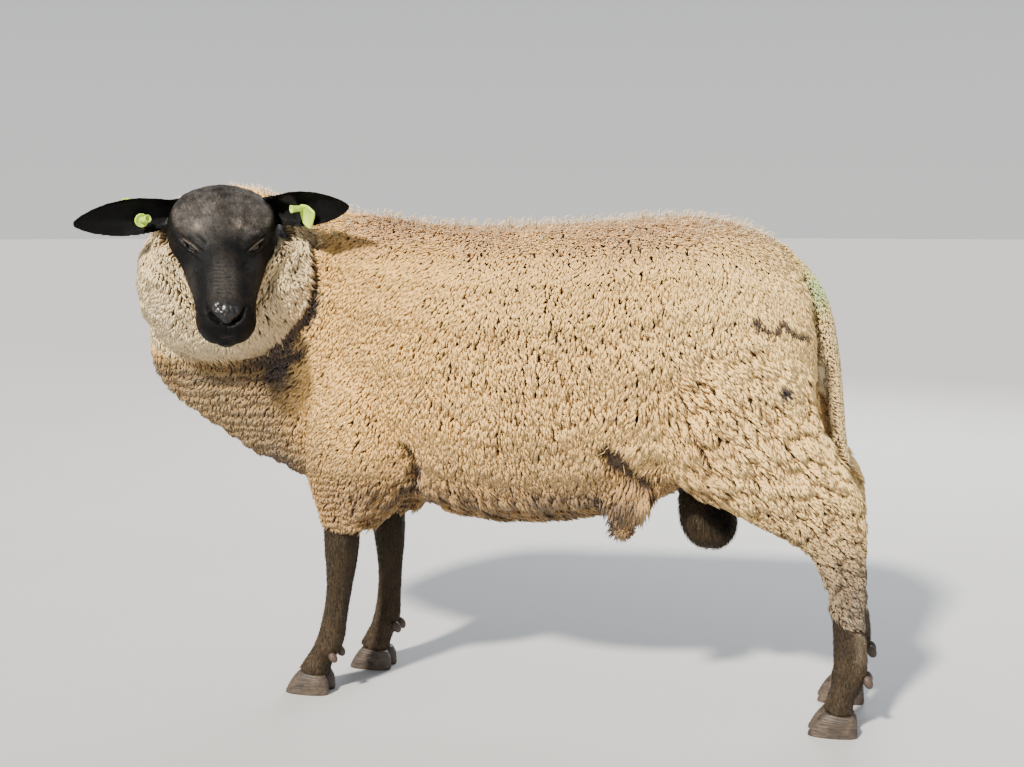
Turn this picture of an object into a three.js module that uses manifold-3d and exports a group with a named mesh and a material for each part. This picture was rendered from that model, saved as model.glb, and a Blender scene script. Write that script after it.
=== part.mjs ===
// A grown ram with a black face and black legs, standing in full fleece with its head turned to its left.
// Millimetres, +Z up. The ram faces -X, its left side is -Y, and the floor is z = 0.
// Each solid is the outer surface of the animal, out to the tips of its wool or hair.
import * as THREE from "three";
import { LoftGeometry } from "three/addons/geometries/LoftGeometry.js";
import { mergeVertices } from "three/addons/utils/BufferGeometryUtils.js";
import Module from "manifold-3d";

const wasm = await Module();
wasm.setup();

// ---------------------------------------------------------------- driving dimensions
const BACK = 800; // height of the back in fleece
const BELLY = 300; // height of the lowest wool of the belly
const BARREL = 235; // half the width of the barrel in fleece
const CHEST_X = -300; // front end of the trunk
const RUMP_X = 522; // rear end of the trunk
const HEAD_PITCH = 52; // degrees that the face slopes below the horizon
const HEAD_TURN = 115.5; // degrees that the head is turned to the left of the body's heading
const POLL = new THREE.Vector3(-406, -185, 841); // top of the skull, where the face begins
const EYE_RADIUS = 15.5;
const EAR_LENGTH = 166;
const EAR_WIDTH = 60;
const EAR_WALL = 4; // thickness of the ear's flap
const STUD_LENGTH = 22;
const STUD_RADIUS = 5;
const PIN_RADIUS = 2;
const GAP = 0.4; // parting between two solids that meet
const FINE = 0.2; // detail smaller than this is left out

const deg = THREE.MathUtils.degToRad;
const mix = THREE.MathUtils.lerp;
const V = (x, y, z) => new THREE.Vector3(x, y, z);

// ---------------------------------------------------------------- lofts and solids
// A signed power, which turns a circle's sine and cosine into those of a squarish ring.
const bend = (value, power) => Math.sign(value) * Math.pow(Math.abs(value), power);

// Triples of numbers joined by one smooth curve.
const track = (rows) => new THREE.CatmullRomCurve3(rows.map((row) => V(...row)), false, "catmullrom", 0.5);

// A closed body through rings. A station is { at, half, up, down, square, squareDown }: its centre, half
// width, height above and below the widest line, and how square it is above and below (2 is an ellipse).
// axes are the ring's width and height directions, and grow makes the body larger all round.
function loft(stations, { axes, rings, sides, grow = 0 }) {
  const [across, upright] = axes;
  const along = across.clone().cross(upright);
  const places = track(stations.map((station) => station.at));
  const sizes = track(stations.map((station) => [station.half, station.up, station.down]));
  const shapes = track(stations.map(({ square = 2, squareDown = square }) => [square, squareDown, 0]));
  const sections = [];
  for (let i = 0; i <= rings; i++) {
    const t = i / rings;
    const centre = places.getPoint(t);
    const size = sizes.getPoint(t);
    const shape = shapes.getPoint(t);
    if (i === 0) centre.addScaledVector(along, -grow);
    if (i === rings) centre.addScaledVector(along, grow);
    const ring = [];
    for (let j = 0; j < sides; j++) {
      const angle = (2 * Math.PI * j) / sides;
      const above = Math.sin(angle) >= 0;
      const power = 2 / (above ? shape.x : shape.y);
      const width = (size.x + grow) * bend(Math.cos(angle), power);
      const height = ((above ? size.y : size.z) + grow) * bend(Math.sin(angle), power);
      ring.push(centre.clone().addScaledVector(across, width).addScaledVector(upright, height));
    }
    sections.push(ring);
  }
  return solid(new LoftGeometry(sections, { capStart: true, capEnd: true }));
}

function solid(geometry) {
  const bare = new THREE.BufferGeometry();
  bare.setAttribute("position", geometry.getAttribute("position"));
  bare.setIndex(geometry.index);
  const merged = mergeVertices(bare, 1e-3);
  return new wasm.Manifold(
    new wasm.Mesh({
      numProp: 3,
      vertProperties: new Float32Array(merged.attributes.position.array),
      triVerts: new Uint32Array(merged.index.array),
    }),
  );
}

const joined = (first, ...others) => others.reduce((whole, part) => whole.add(part), first);

// The largest piece of a body that cutting has left in several.
const larger = (best, piece) => (piece.volume() > best.volume() ? piece : best);
const largest = (made) => made.decompose().reduce(larger);

function geometryOf(made) {
  const { vertProperties, triVerts, numProp, numVert } = made.getMesh();
  const places = new Float32Array(numVert * 3);
  for (let i = 0; i < numVert; i++) {
    places.set(vertProperties.subarray(i * numProp, i * numProp + 3), i * 3);
  }
  const geometry = new THREE.BufferGeometry();
  geometry.setAttribute("position", new THREE.BufferAttribute(places, 3));
  geometry.setIndex(new THREE.BufferAttribute(new Uint32Array(triVerts), 1));
  geometry.computeVertexNormals();
  return geometry;
}

// A block between two opposite corners, turned by pitch degrees about the Y line through pivot.
function block(low, high, pitch = 0, pivot = V(0, 0, 0)) {
  const size = V(...high).sub(V(...low));
  const box = new THREE.BoxGeometry(size.x, size.y, size.z);
  const middle = V(...low).add(V(...high)).multiplyScalar(0.5).sub(pivot);
  box.translate(middle.x, middle.y, middle.z);
  box.rotateY(deg(pitch));
  box.translate(pivot.x, pivot.y, pivot.z);
  return solid(box);
}

// ---------------------------------------------------------------- finishes and the group
const finish = (color, roughness) => new THREE.MeshStandardMaterial({ color, roughness, metalness: 0 });
const WOOL = finish(0xcdb08a, 0.95);
const BLACK_COAT = finish(0x2b2624, 0.75);
const HORN = finish(0x4a3a30, 0.5);
const EYE = finish(0x2a1a0c, 0.1);
const TAG = finish(0xb9d94a, 0.45);

const ram = new THREE.Group();
function add(name, made, material) {
  const mesh = new THREE.Mesh(geometryOf(largest(made.simplify(FINE))), material);
  mesh.name = name;
  ram.add(mesh);
}

// ---------------------------------------------------------------- trunk
// Each row is a place along the trunk, the heights of the back and of the underside there, the height of the
// widest line and a share of the barrel's half width.
function trunk(grow = 0) {
  const rows = [
    [0.0, 12, 70, 595, 0.46],
    [0.08, 12, 50, 590, 0.64],
    [0.17, 2, 40, 580, 0.8],
    [0.26, -8, 14, 568, 0.92],
    [0.4, -7, 0, 560, 1.0],
    [0.53, -3, 10, 560, 1.0],
    [0.64, 4, 30, 570, 0.96],
    [0.74, 8, 75, 585, 0.91],
    [0.83, -2, 110, 590, 0.84],
    [0.905, -27, 140, 585, 0.76],
    [0.956, -64, 180, 575, 0.66],
    [0.987, -112, 225, 565, 0.52],
    [1.0, -160, 245, 560, 0.36],
  ];
  const stations = rows.map(([share, rise, lift, wide, width]) => ({
    at: [mix(CHEST_X, RUMP_X, share), 0, wide],
    half: BARREL * width,
    up: BACK + rise - wide,
    down: wide - BELLY - lift,
    square: 2.25,
    squareDown: 2.15,
  }));
  return loft(stations, { axes: [V(0, 1, 0), V(0, 0, 1)], rings: 18, sides: 20, grow });
}

// A lock of wool that hangs from the fold of the flank, in front of the thigh.
function flankLock(side, grow = 0) {
  const rows = [
    [430, 245, 60, 30],
    [390, 240, 50, 27],
    [350, 236, 38, 22],
    [320, 233, 25, 15],
    [303, 232, 10, 7],
  ];
  const stations = rows.map(([z, x, long, half]) => ({ at: [x, side * 128, z], half, up: long, down: long }));
  return loft(stations, { axes: DOWNWARD, rings: 6, sides: 12, grow });
}

// ---------------------------------------------------------------- neck and ruff
const facing = V(-Math.cos(deg(HEAD_TURN)), -Math.sin(deg(HEAD_TURN)), 0);
const leftOfHead = V(0, 0, 1).cross(facing).normalize();

// The chest and the root of the neck. Each row is x, y, the top, the underside, the widest line and the half
// width.
function chest(grow = 0) {
  const rows = [
    [-150, 0, 800, 380, 590, 160],
    [-230, 0, 814, 352, 590, 150],
    [-300, -4, 820, 340, 595, 130],
    [-355, -12, 828, 362, 605, 118],
    [-409, -24, 838, 393, 620, 110],
    [-454, -36, 842, 430, 630, 102],
    [-515, -54, 826, 474, 638, 90],
    [-560, -66, 770, 520, 645, 68],
    [-582, -72, 720, 566, 645, 40],
  ];
  const stations = rows.map(([x, y, top, bottom, wide, half]) => ({
    at: [x, y, wide],
    half,
    up: top - wide,
    down: wide - bottom,
  }));
  return loft(stations, { axes: [V(0, -1, 0), V(0, 0, 1)], rings: 10, sides: 18, grow });
}

// The thick collar of wool round the neck, behind the head and turned with it. Each row is a distance along
// the head's heading, then the half width and the heights of the ring above and below its centre.
function ruff(grow = 0) {
  const rows = [
    [-60, 96, 100, 104],
    [-20, 138, 140, 136],
    [30, 157, 150, 142],
    [80, 161, 130, 140],
    [122, 150, 104, 130],
    [150, 122, 74, 104],
    [162, 70, 38, 58],
  ];
  const middle = V(-446, -53, 704);
  const stations = rows.map(([distance, half, up, down]) => ({
    at: middle.clone().addScaledVector(facing, distance).toArray(),
    half,
    up,
    down,
    square: 2.1,
    squareDown: 2.35,
  }));
  return loft(stations, { axes: [leftOfHead, V(0, 0, 1)], rings: 10, sides: 20, grow });
}

// ---------------------------------------------------------------- legs
// Rings of a leg lie level, and the loft runs down it. Side is -1 for the left and 1 for the right.
const DOWNWARD = [V(0, 1, 0), V(1, 0, 0)];

const LEAN_HEIGHT = 300;
const leanAt = ([foot, top], z) => mix(foot, top, Math.min(1, z / LEAN_HEIGHT));

// Rows of a leg are a height, its front and rear, the middle's distance from the midline and the half width.
// lean moves the leg back by one distance at the foot and another at LEAN_HEIGHT and above.
function limb(rows, { side, lean = [0, 0], rings, sides, grow = 0 }) {
  const stations = rows.map(([z, front, rear, y, half, square = 2]) => {
    const back = leanAt(lean, z);
    const deep = (rear - front) / 2;
    return { at: [(front + rear) / 2 + back, side * y, z], half, up: deep, down: deep, square };
  });
  return loft(stations, { axes: DOWNWARD, rings, sides, grow });
}

const THIGH = [
  [690, 330, 462, 90, 70],
  [620, 290, 500, 100, 92],
  [550, 258, 522, 107, 101],
  [485, 250, 535, 110, 98],
  [430, 268, 571, 109, 88],
  [392, 308, 595, 107, 74],
  [355, 372, 602, 104, 62],
  [325, 440, 603, 100, 53],
  [298, 500, 603, 97, 46],
  [262, 525, 602, 94, 39],
  [225, 540, 603, 91, 34],
  [185, 548, 604, 89, 29],
  [140, 551, 606, 88, 23],
];
const FOREARM = [
  [590, -270, -100, 96, 60],
  [510, -292, -92, 106, 76],
  [440, -304, -104, 108, 80],
  [385, -304, -122, 104, 74],
  [340, -298, -142, 96, 62],
  [310, -290, -168, 89, 50],
  [288, -284, -194, 86, 39],
];
const HIND_CANNON = [
  [240, 543, 600, 90, 25],
  [190, 549, 603, 89, 23],
  [150, 552, 606, 88, 20],
  [112, 553, 609, 86, 24],
  [88, 552, 606, 84, 28],
  [66, 548, 594, 83, 25],
  [46, 541, 588, 82, 28],
  [30, 535, 588, 81, 31],
  [16, 530, 590, 81, 31],
];
const FRONT_CANNON = [
  [340, -276, -206, 90, 34],
  [290, -281, -218, 87, 33],
  [250, -281, -222, 84, 34],
  [215, -280, -228, 82, 29],
  [180, -281, -236, 81, 22],
  [145, -287, -242, 80, 20],
  [112, -295, -248, 79, 23],
  [86, -304, -252, 78, 28],
  [64, -318, -266, 77, 25],
  [46, -331, -276, 76, 28],
  [30, -338, -280, 76, 31],
  [16, -342, -280, 76, 31],
];

const hindWool = (leg, grow = 0) => limb(THIGH, { ...leg, rings: 13, sides: 14, grow });
const frontWool = (leg, grow = 0) => limb(FOREARM, { ...leg, rings: 8, sides: 12, grow });

const LEGS = {
  hind_left: { side: -1, lean: [0, 0], wool: hindWool, cannon: HIND_CANNON, spur: [606, 90, 14] },
  hind_right: { side: 1, lean: [12, 2], wool: hindWool, cannon: HIND_CANNON, spur: [606, 90, 14] },
  front_left: { side: -1, lean: [0, 0], wool: frontWool, cannon: FRONT_CANNON, spur: [-268, 68, 19] },
  front_right: { side: 1, lean: [62, 22], wool: frontWool, cannon: FRONT_CANNON, spur: [-257, 78, 14] },
};

// One claw of a hoof. The sole is flat on the floor, and the wall slopes back from the toe to the coronet.
function claw(x, y, outward) {
  const rows = [
    [46, -22, 24, 13],
    [34, -28, 28, 14.5],
    [18, -37, 30, 15],
    [5, -45, 31, 14.5],
    [0, -46, 30, 14],
  ];
  const stations = rows.map(([z, toe, heel, half]) => ({
    at: [x + (toe + heel) / 2, y + outward * (46 - z) * 0.04, z],
    half,
    up: (heel - toe) / 2,
    down: (heel - toe) / 2,
    square: 2.2,
  }));
  return loft(stations, { axes: DOWNWARD, rings: 3, sides: 8 });
}

function dewclaw(x, y, z) {
  const bead = new THREE.SphereGeometry(1, 6, 4);
  bead.scale(9, 7.5, 11);
  bead.rotateY(deg(-30));
  bead.translate(x, y, z);
  return solid(bead);
}

// ---------------------------------------------------------------- tail and scrotum
// A woolly tail that hangs to the hocks. Rows are a height, x, half thickness and half width.
function tail() {
  const rows = [
    [755, 452, 14, 24],
    [722, 484, 18, 33],
    [690, 505, 19, 37],
    [650, 521, 18, 37],
    [600, 531, 18, 36],
    [545, 538, 18, 34],
    [485, 545, 17, 32],
    [440, 552, 15, 27],
    [416, 562, 12, 19],
    [396, 570, 6, 9],
  ];
  const stations = rows.map(([z, x, thick, half]) => ({ at: [x, 0, z], half, up: thick, down: thick }));
  return loft(stations, { axes: DOWNWARD, rings: 12, sides: 10 });
}

function scrotum() {
  const rows = [
    [430, 305, 372, 32],
    [385, 302, 382, 36],
    [345, 300, 392, 46],
    [312, 303, 398, 53],
    [285, 315, 392, 46],
    [270, 335, 374, 24],
  ];
  const stations = rows.map(([z, front, rear, half]) => {
    const deep = (rear - front) / 2;
    return { at: [(front + rear) / 2, 0, z], half, up: deep, down: deep };
  });
  return loft(stations, { axes: DOWNWARD, rings: 8, sides: 12 });
}

// ---------------------------------------------------------------- head
// The head's own frame: x to its left, y out of the brow, z from the poll to the nose.
const noseward = facing.clone().multiplyScalar(Math.cos(deg(HEAD_PITCH)));
noseward.z = -Math.sin(deg(HEAD_PITCH));
const browward = noseward.clone().cross(leftOfHead).normalize();
const headFrame = new THREE.Matrix4().makeBasis(leftOfHead, browward, noseward).setPosition(POLL);
const inHead = (x, y, z) => V(x, y, z).applyMatrix4(headFrame);

// Each row is the distance from the poll, the brow line, the jaw line, the widest line and the half width,
// then how square the ring is above and below the widest line.
function skull(grow = 0) {
  const rows = [
    [-44, -40, -96, -68, 42, 2, 2],
    [-24, -10, -116, -58, 68, 2.1, 2],
    [0, 5, -124, -54, 80, 2.2, 1.9],
    [28, 13, -128, -54, 86, 2.2, 1.8],
    [56, 14, -128, -60, 87, 1.95, 1.75],
    [82, 12, -122, -62, 82, 1.75, 1.75],
    [106, 9, -113, -58, 71, 1.7, 1.8],
    [132, 7, -102, -52, 59, 1.85, 1.9],
    [160, 5, -93, -46, 50, 2.1, 2.1],
    [186, 1, -92, -44, 46, 2.2, 2.2],
    [208, -6, -96, -47, 45, 2.3, 2.3],
    [224, -16, -94, -51, 41, 2.3, 2.3],
    [234, -28, -84, -53, 33, 2.2, 2.2],
    [240, -40, -68, -54, 17, 2, 2],
  ];
  const stations = rows.map(([z, top, bottom, wide, half, square, squareDown]) => ({
    at: inHead(0, wide, z).toArray(),
    half,
    up: top - wide,
    down: wide - bottom,
    square,
    squareDown,
  }));
  return loft(stations, { axes: [leftOfHead, browward], rings: 20, sides: 20, grow });
}

// An ellipsoid in the head's frame. size holds its half sizes along the three directions of turn.
function ball(centre, size, turn = new THREE.Matrix4(), across = 10, down = 7) {
  const sphere = new THREE.SphereGeometry(1, across, down);
  sphere.scale(...size);
  sphere.applyMatrix4(turn);
  sphere.translate(...centre);
  sphere.applyMatrix4(headFrame);
  return solid(sphere);
}

// The eye's opening runs from its nose corner to its ear corner, and outward is the way the eye looks.
const EYE_MIDDLE = [51, -13, 95];
const mirrored = ([x, y, z], side) => V(side * x, y, z);
function eyeTurn(side) {
  const opening = mirrored([0.58, -0.21, -0.79], side).normalize();
  const outward = mirrored([0.66, 0.68, 0.33], side);
  outward.addScaledVector(opening, -outward.dot(opening)).normalize();
  return new THREE.Matrix4().makeBasis(opening, outward, opening.clone().cross(outward));
}
const fromEye = (side, out, up) => {
  const turn = eyeTurn(side);
  const step = V(0, out, -up * side).applyMatrix4(turn);
  return mirrored(EYE_MIDDLE, side).add(step).toArray();
};
function eyeBall(side, grow = 0) {
  const size = Array(3).fill(EYE_RADIUS + grow);
  return ball(fromEye(side, EYE_RADIUS * -0.9, 0), size, eyeTurn(side), 12, 8);
}
const eyeOpening = (side) => ball(fromEye(side, 3, 0), [18, 9, 6.5], eyeTurn(side), 10, 6);

// The ridge of bone over each eye.
const brow = (side) => ball(fromEye(side, -7, 13), [30, 10, 11], eyeTurn(side), 9, 6);

// Each nostril is a slit that slopes down and inwards over the front of the nose.
function nostril(side) {
  const slit = V(-28 * side, -13, 12.5).normalize();
  const inward = V(0, 0.68, 0.73);
  const across = slit.clone().cross(inward).normalize();
  const upright = inward.clone().cross(slit).cross(slit).negate().normalize();
  const turn = new THREE.Matrix4().makeBasis(slit, upright, across);
  return ball([side * 18, -20, 224], [15, 9, 4.5], turn, 8, 6);
}

// ---------------------------------------------------------------- ears and their tags
// forward is how far an ear swings towards the nose and droop how far its tip hangs below its root, in
// degrees. tagAt is the tag's place, as a share of the ear's length, and plateSide is 1 when its back plate
// points up.
function earOf(side, forward, droop, tagAt, plateSide) {
  const aim = leftOfHead.clone().multiplyScalar(side * Math.cos(deg(forward)));
  aim.addScaledVector(facing, Math.sin(deg(forward)));
  aim.z -= Math.tan(deg(droop));
  aim.normalize();
  const open = facing.clone().add(V(0, 0, -0.3));
  open.addScaledVector(aim, -open.dot(aim)).normalize();
  const root = inHead(side * 62, -29, 16);
  return { root, aim, open, across: open.clone().cross(aim), tagAt, plateSide };
}
const EARS = { left: earOf(1, 40, -5, 0.44, -1), right: earOf(-1, 6, 4.5, 0.33, 1) };

// A place on the ear: share of its length, q from -1 to 1 across it, back from the hollow side.
function onEar({ root, aim, open, across }, share, width, depth, q, back) {
  const half = (EAR_WIDTH / 2) * width;
  const roll = (q * Math.PI) / 2;
  const place = root.clone().addScaledVector(aim, share * EAR_LENGTH);
  place.addScaledVector(across, half * Math.sin(roll));
  place.addScaledVector(open, -2 * half * depth * Math.cos(roll) - back);
  place.z -= 5 * share * share;
  return place;
}

// A leaf rolled into a cup. Rows are a share of the ear's length, shares of its width and depth of roll.
function ear(part) {
  const rows = [
    [0.0, 0.66, 0.46],
    [0.16, 0.8, 0.42],
    [0.34, 0.97, 0.34],
    [0.5, 1.0, 0.27],
    [0.7, 0.86, 0.2],
    [0.87, 0.56, 0.15],
    [0.97, 0.26, 0.1],
    [1.0, 0.1, 0.05],
  ];
  const shares = track(rows);
  const rings = 9;
  const across = 5;
  const sections = [];
  for (let i = 0; i <= rings; i++) {
    const { x: share, y: width, z: depth } = shares.getPoint(i / rings);
    const wall = mix(EAR_WALL * 2, EAR_WALL * 0.6, Math.min(1, share * 1.6));
    const ring = [];
    for (let j = 0; j <= across; j++) {
      const q = -1 + (2 * j) / across;
      ring.push(onEar(part, share, width, depth, q, 1.5 + wall * Math.cos((q * Math.PI) / 2)));
    }
    for (let j = 0; j <= across; j++) ring.push(onEar(part, share, width, depth, 1 - (2 * j) / across, 0));
    sections.push(ring);
  }
  return solid(new LoftGeometry(sections, { capStart: true, capEnd: true }));
}

// A plate in the plane of the ear, made from points { along the ear, up } about the tag's pin.
function plate(part, points, from, to, upward = 1) {
  const flip = upward * Math.sign(part.across.z);
  const shape = new THREE.Shape(points.map(([x, y]) => new THREE.Vector2(x, y * flip)));
  const slab = new THREE.ExtrudeGeometry(shape, { depth: to - from, bevelEnabled: false });
  slab.translate(0, 0, from);
  return solid(slab.applyMatrix4(tagFrame(part)));
}

function pin(part, radius, from, to) {
  const rod = new THREE.CylinderGeometry(radius, radius, to - from, 8);
  rod.rotateX(Math.PI / 2);
  rod.translate(0, 0, (from + to) / 2);
  return solid(rod.applyMatrix4(tagFrame(part)));
}

const tagFrame = (part) => {
  const { aim, across, open } = part;
  const at = onEar(part, part.tagAt, 0.97, 0.32, 0, 0);
  return new THREE.Matrix4().makeBasis(aim, across, open).setPosition(at);
};

// ---------------------------------------------------------------- putting the ram together and parting it
const flesh = (grow = 0) =>
  joined(
    trunk(grow),
    flankLock(-1, grow),
    flankLock(1, grow),
    chest(grow),
    ruff(grow),
    ...Object.values(LEGS).map((leg) => leg.wool(leg, grow)),
  );

const whole = flesh();
const skin = flesh(GAP);
const FAR = 2000; // well outside the animal

// What lies on each side of a level or tilted cut, with the gap between the two.
function below(z, pitch = 0, pivot = V(0, 0, 0)) {
  return block([-FAR, -FAR, -FAR], [FAR, FAR, z - GAP / 2], pitch, pivot);
}
function above(z, pitch = 0, pivot = V(0, 0, 0)) {
  return block([-FAR, -FAR, z + GAP / 2], [FAR, FAR, FAR], pitch, pivot);
}

// Where the wool of each leg leaves the body, as the corners of a block, and the level at which it ends.
const LEG_CUTS = {
  hind_left: { low: [300, -300, 0], high: [700, -22, 400], end: 180, tilt: 35, at: 575 },
  hind_right: { low: [300, 22, 0], high: [700, 300, 400], end: 180, tilt: 35, at: 575 },
  front_left: { low: [-330, -300, 0], high: [-120, -22, 390], end: 292, tilt: 0, at: 0 },
  front_right: { low: [-330, 22, 0], high: [-90, 300, 390], end: 292, tilt: 0, at: 0 },
};

const CORONET = 34; // height at which the horn of a hoof begins
const CORONET_TILT = 14; // degrees that the coronet slopes down to the heel
const CLAW_APART = 15.5; // half the distance between the two claws of a foot
const TOE_OUT = 4; // distance that the hoof stands out in front of the pastern

const widened = ([x, y, z], by) => [x + by, y + by, z + by];
let rest = whole;
for (const [name, { low, high, end, tilt, at }] of Object.entries(LEG_CUTS)) {
  const leg = LEGS[name];
  const pivot = V(at, 0, end);
  const { side, lean } = leg;
  const cannon = limb(leg.cannon, { side, lean, rings: leg.cannon.length, sides: 10 });
  const skinned = limb(leg.cannon, { side, lean, rings: leg.cannon.length, sides: 10, grow: GAP });
  const foot = leg.cannon[leg.cannon.length - 1];
  const x = (foot[1] + foot[2]) / 2 + leanAt(lean, 0) + TOE_OUT;
  const y = side * foot[3];
  const coronet = V(x, 0, CORONET);
  add(`upper_${name}`, whole.intersect(block(low, high)).intersect(above(end, tilt, pivot)), WOOL);
  const shank = cannon.intersect(below(end, tilt, pivot)).intersect(above(CORONET, CORONET_TILT, coronet));
  add(`lower_${name}`, shank, BLACK_COAT);
  for (const [edge, outward] of [["inner", -side], ["outer", side]]) {
    const hoof = claw(x, y + outward * CLAW_APART, outward).intersect(below(CORONET, CORONET_TILT, coronet));
    add(`claw_${name}_${edge}`, hoof, HORN);
    const [behind, high, apart] = leg.spur;
    const spur = dewclaw(behind + leanAt(lean, high), y + outward * apart, high);
    add(`dewclaw_${name}_${edge}`, spur.subtract(skinned), HORN);
  }
  rest = rest.subtract(block(widened(low, -GAP), widened(high, GAP)));
}

const COLLAR = -262; // where the neck meets the trunk
add("trunk", rest.intersect(block([COLLAR + GAP / 2, -FAR, -FAR], [FAR, FAR, FAR])), WOOL);
const fore = rest.intersect(block([-FAR, -FAR, -FAR], [COLLAR - GAP / 2, FAR, FAR]));
add("neck", fore.subtract(skull(GAP)), WOOL);
add("tail", tail().subtract(skin), WOOL);
add("scrotum", scrotum().subtract(skin), BLACK_COAT);

const bareHead = joined(skull(), brow(-1), brow(1));
const hollows = [-1, 1].flatMap((side) => [eyeBall(side, GAP), eyeOpening(side), nostril(side)]);
add("head", bareHead.subtract(joined(...hollows)), BLACK_COAT);

// Each tag is a front flag with a hollow stud and a back plate whose pin passes through the ear into the stud.
const FLAG = [[-9, 8], [10, 10], [16, -4], [10, -18], [3, -23], [-8, -11]];
const BACK_PLATE = [[-8, -9], [9, -10], [34, 10], [35, 24], [17, 27], [-9, 9]];
for (const [name, side] of [["left", 1], ["right", -1]]) {
  const part = EARS[name];
  const behind = -EAR_WALL - 1.5;
  const hole = pin(part, PIN_RADIUS + GAP, behind - 4, STUD_LENGTH - 3);
  add(`eye_${name}`, eyeBall(side), EYE);
  add(`ear_${name}`, ear(part).subtract(joined(skull(GAP), skin, hole)), BLACK_COAT);
  const front = joined(plate(part, FLAG, 12, 14), pin(part, STUD_RADIUS, 4, STUD_LENGTH)).subtract(hole);
  add(`tag_front_${name}`, front, TAG);
  const backPlate = plate(part, BACK_PLATE, behind - 5, behind - 3, part.plateSide);
  const back = backPlate.add(pin(part, PIN_RADIUS, behind - 4, STUD_LENGTH - 4));
  add(`tag_back_${name}`, back, TAG);
}

// The origin is on the floor, under the middle of the whole animal.
const box = new THREE.Box3().setFromObject(ram);
for (const mesh of ram.children) {
  mesh.geometry.translate(-(box.min.x + box.max.x) / 2, -(box.min.y + box.max.y) / 2, -box.min.z);
}

export default ram;
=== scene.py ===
"""A grown ram with a black face and black legs, standing in full fleece with its head turned to its left.

Metres, +Z up. The ram faces -X, its left side is -Y and the floor is z = 0. Places come from the boxes of the
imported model's nodes. One skin stands for all the flesh, and the fleece and the short hair are locks on it.
"""
import math

import bmesh
import bpy
import numpy as np
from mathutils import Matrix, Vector


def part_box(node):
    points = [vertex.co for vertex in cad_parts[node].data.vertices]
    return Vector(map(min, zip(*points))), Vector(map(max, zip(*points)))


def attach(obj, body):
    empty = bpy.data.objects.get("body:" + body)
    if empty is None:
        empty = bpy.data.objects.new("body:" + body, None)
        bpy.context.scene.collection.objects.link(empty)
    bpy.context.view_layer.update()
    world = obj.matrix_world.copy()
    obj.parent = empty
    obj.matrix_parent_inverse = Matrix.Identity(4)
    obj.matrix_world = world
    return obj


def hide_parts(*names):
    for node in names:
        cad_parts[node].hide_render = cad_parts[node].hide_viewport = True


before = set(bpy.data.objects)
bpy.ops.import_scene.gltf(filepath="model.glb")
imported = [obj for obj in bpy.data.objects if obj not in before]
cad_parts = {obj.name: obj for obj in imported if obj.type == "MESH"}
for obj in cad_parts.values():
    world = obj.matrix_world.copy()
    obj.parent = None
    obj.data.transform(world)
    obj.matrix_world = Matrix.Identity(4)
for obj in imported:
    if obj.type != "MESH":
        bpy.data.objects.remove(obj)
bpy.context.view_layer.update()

# ---------------------------------------------------------------- driving values
FLEECE_DEPTH = 0.025  # wool on the trunk and the neck, from the skin to the tips
LEG_WOOL_DEPTH = 0.014
TAIL_WOOL_DEPTH = 0.010
JAW_WOOL_DEPTH = 0.017
UNDER_HAIR = 0.007  # how far the coarse shell of the body stays under the fine shells of head and legs
HAIR_LIFT = 0.0012  # how far the skin lies inside the solids where the hair is short
HEAD_PITCH = math.radians(52)  # slope of the face below the horizon
EYE_RADIUS = 0.0155
EYE_SLIT = (0.58, -0.21, -0.79)  # from the nose corner of the left eye to its ear corner, in the head's frame
EYE_LOOK = (0.66, 0.68, 0.33)  # the way the left eye looks, in the head's frame
EYE_FROM_POLL = (0.0, -0.0224, 0.0906)  # middle of the two eyeballs, in the head's frame
BODY_GRAIN = 0.0102  # width of the skin's faces on the body
LEG_GRAIN = 0.0046
HEAD_GRAIN = 0.0025
EAR_GRAIN = 0.0015
EAR_GROWTH = 0.0007  # how much thicker the ears are while their even faces are laid
MUD_TOP = 0.26  # how high mud reaches on the legs
ROOT_SPACING = 0.0046  # between two locks of the fleece
SPINE_Y = 0.034  # the middle of the body across

UP = np.array([0.0, 0.0, 1.0])
LEGS = ("front_left", "front_right", "hind_left", "hind_right")
SIDES = (("left", 1), ("right", -1))
LEG_WOOL = tuple(f"upper_{leg}" for leg in LEGS)
SHANKS = tuple(f"lower_{leg}" for leg in LEGS)
EARS = ("ear_left", "ear_right")
FLESH = ("head", "neck", "trunk", "tail", "scrotum") + LEG_WOOL + SHANKS + EARS

chance = np.random.default_rng(41)


# ---------------------------------------------------------------- small helpers on whole arrays
def unit(vectors):
    return vectors / np.maximum(np.linalg.norm(vectors, axis=-1, keepdims=True), 1e-9)


def dot(a, b):
    return (a * b).sum(axis=-1)


def step(low, high, value):
    """0 below low, 1 above high, and the cubic 3t^2 - 2t^3 between them; low may be the larger."""
    t = np.clip((value - low) / (high - low), 0, 1)
    return t * t * (3 - 2 * t)


def hill(value, middle, width):
    """A bell round middle: e to the power of minus the square of the distance in widths."""
    return np.exp(-(((value - middle) / width) ** 2))


def blend(a, b, share):
    return a + (b - a) * share


def corners(node):
    low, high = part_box(node)
    return np.array(low), np.array(high)


def middle(node):
    low, high = corners(node)
    return (low + high) / 2


def linear(red, green, blue):
    """A colour given on the usual 0 to 255 scale, as the linear light that shaders use."""
    share = np.array([red, green, blue]) / 255
    return np.where(share < 0.04045, share / 12.92, ((share + 0.055) / 1.055) ** 2.4)


def column(items, name, width, kind=np.float32):
    """One value of every item of a mesh, such as its points' places, in rows of this width."""
    values = np.empty(len(items) * width, kind)
    items.foreach_get(name, values)
    return values.reshape(-1, width)


def points_of(mesh):
    return column(mesh.vertices, "co", 3).astype(float)


def new_object(name, data):
    """An object that holds this data, in the scene."""
    thing = bpy.data.objects.new(name, data)
    bpy.context.scene.collection.objects.link(thing)
    return thing


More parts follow.
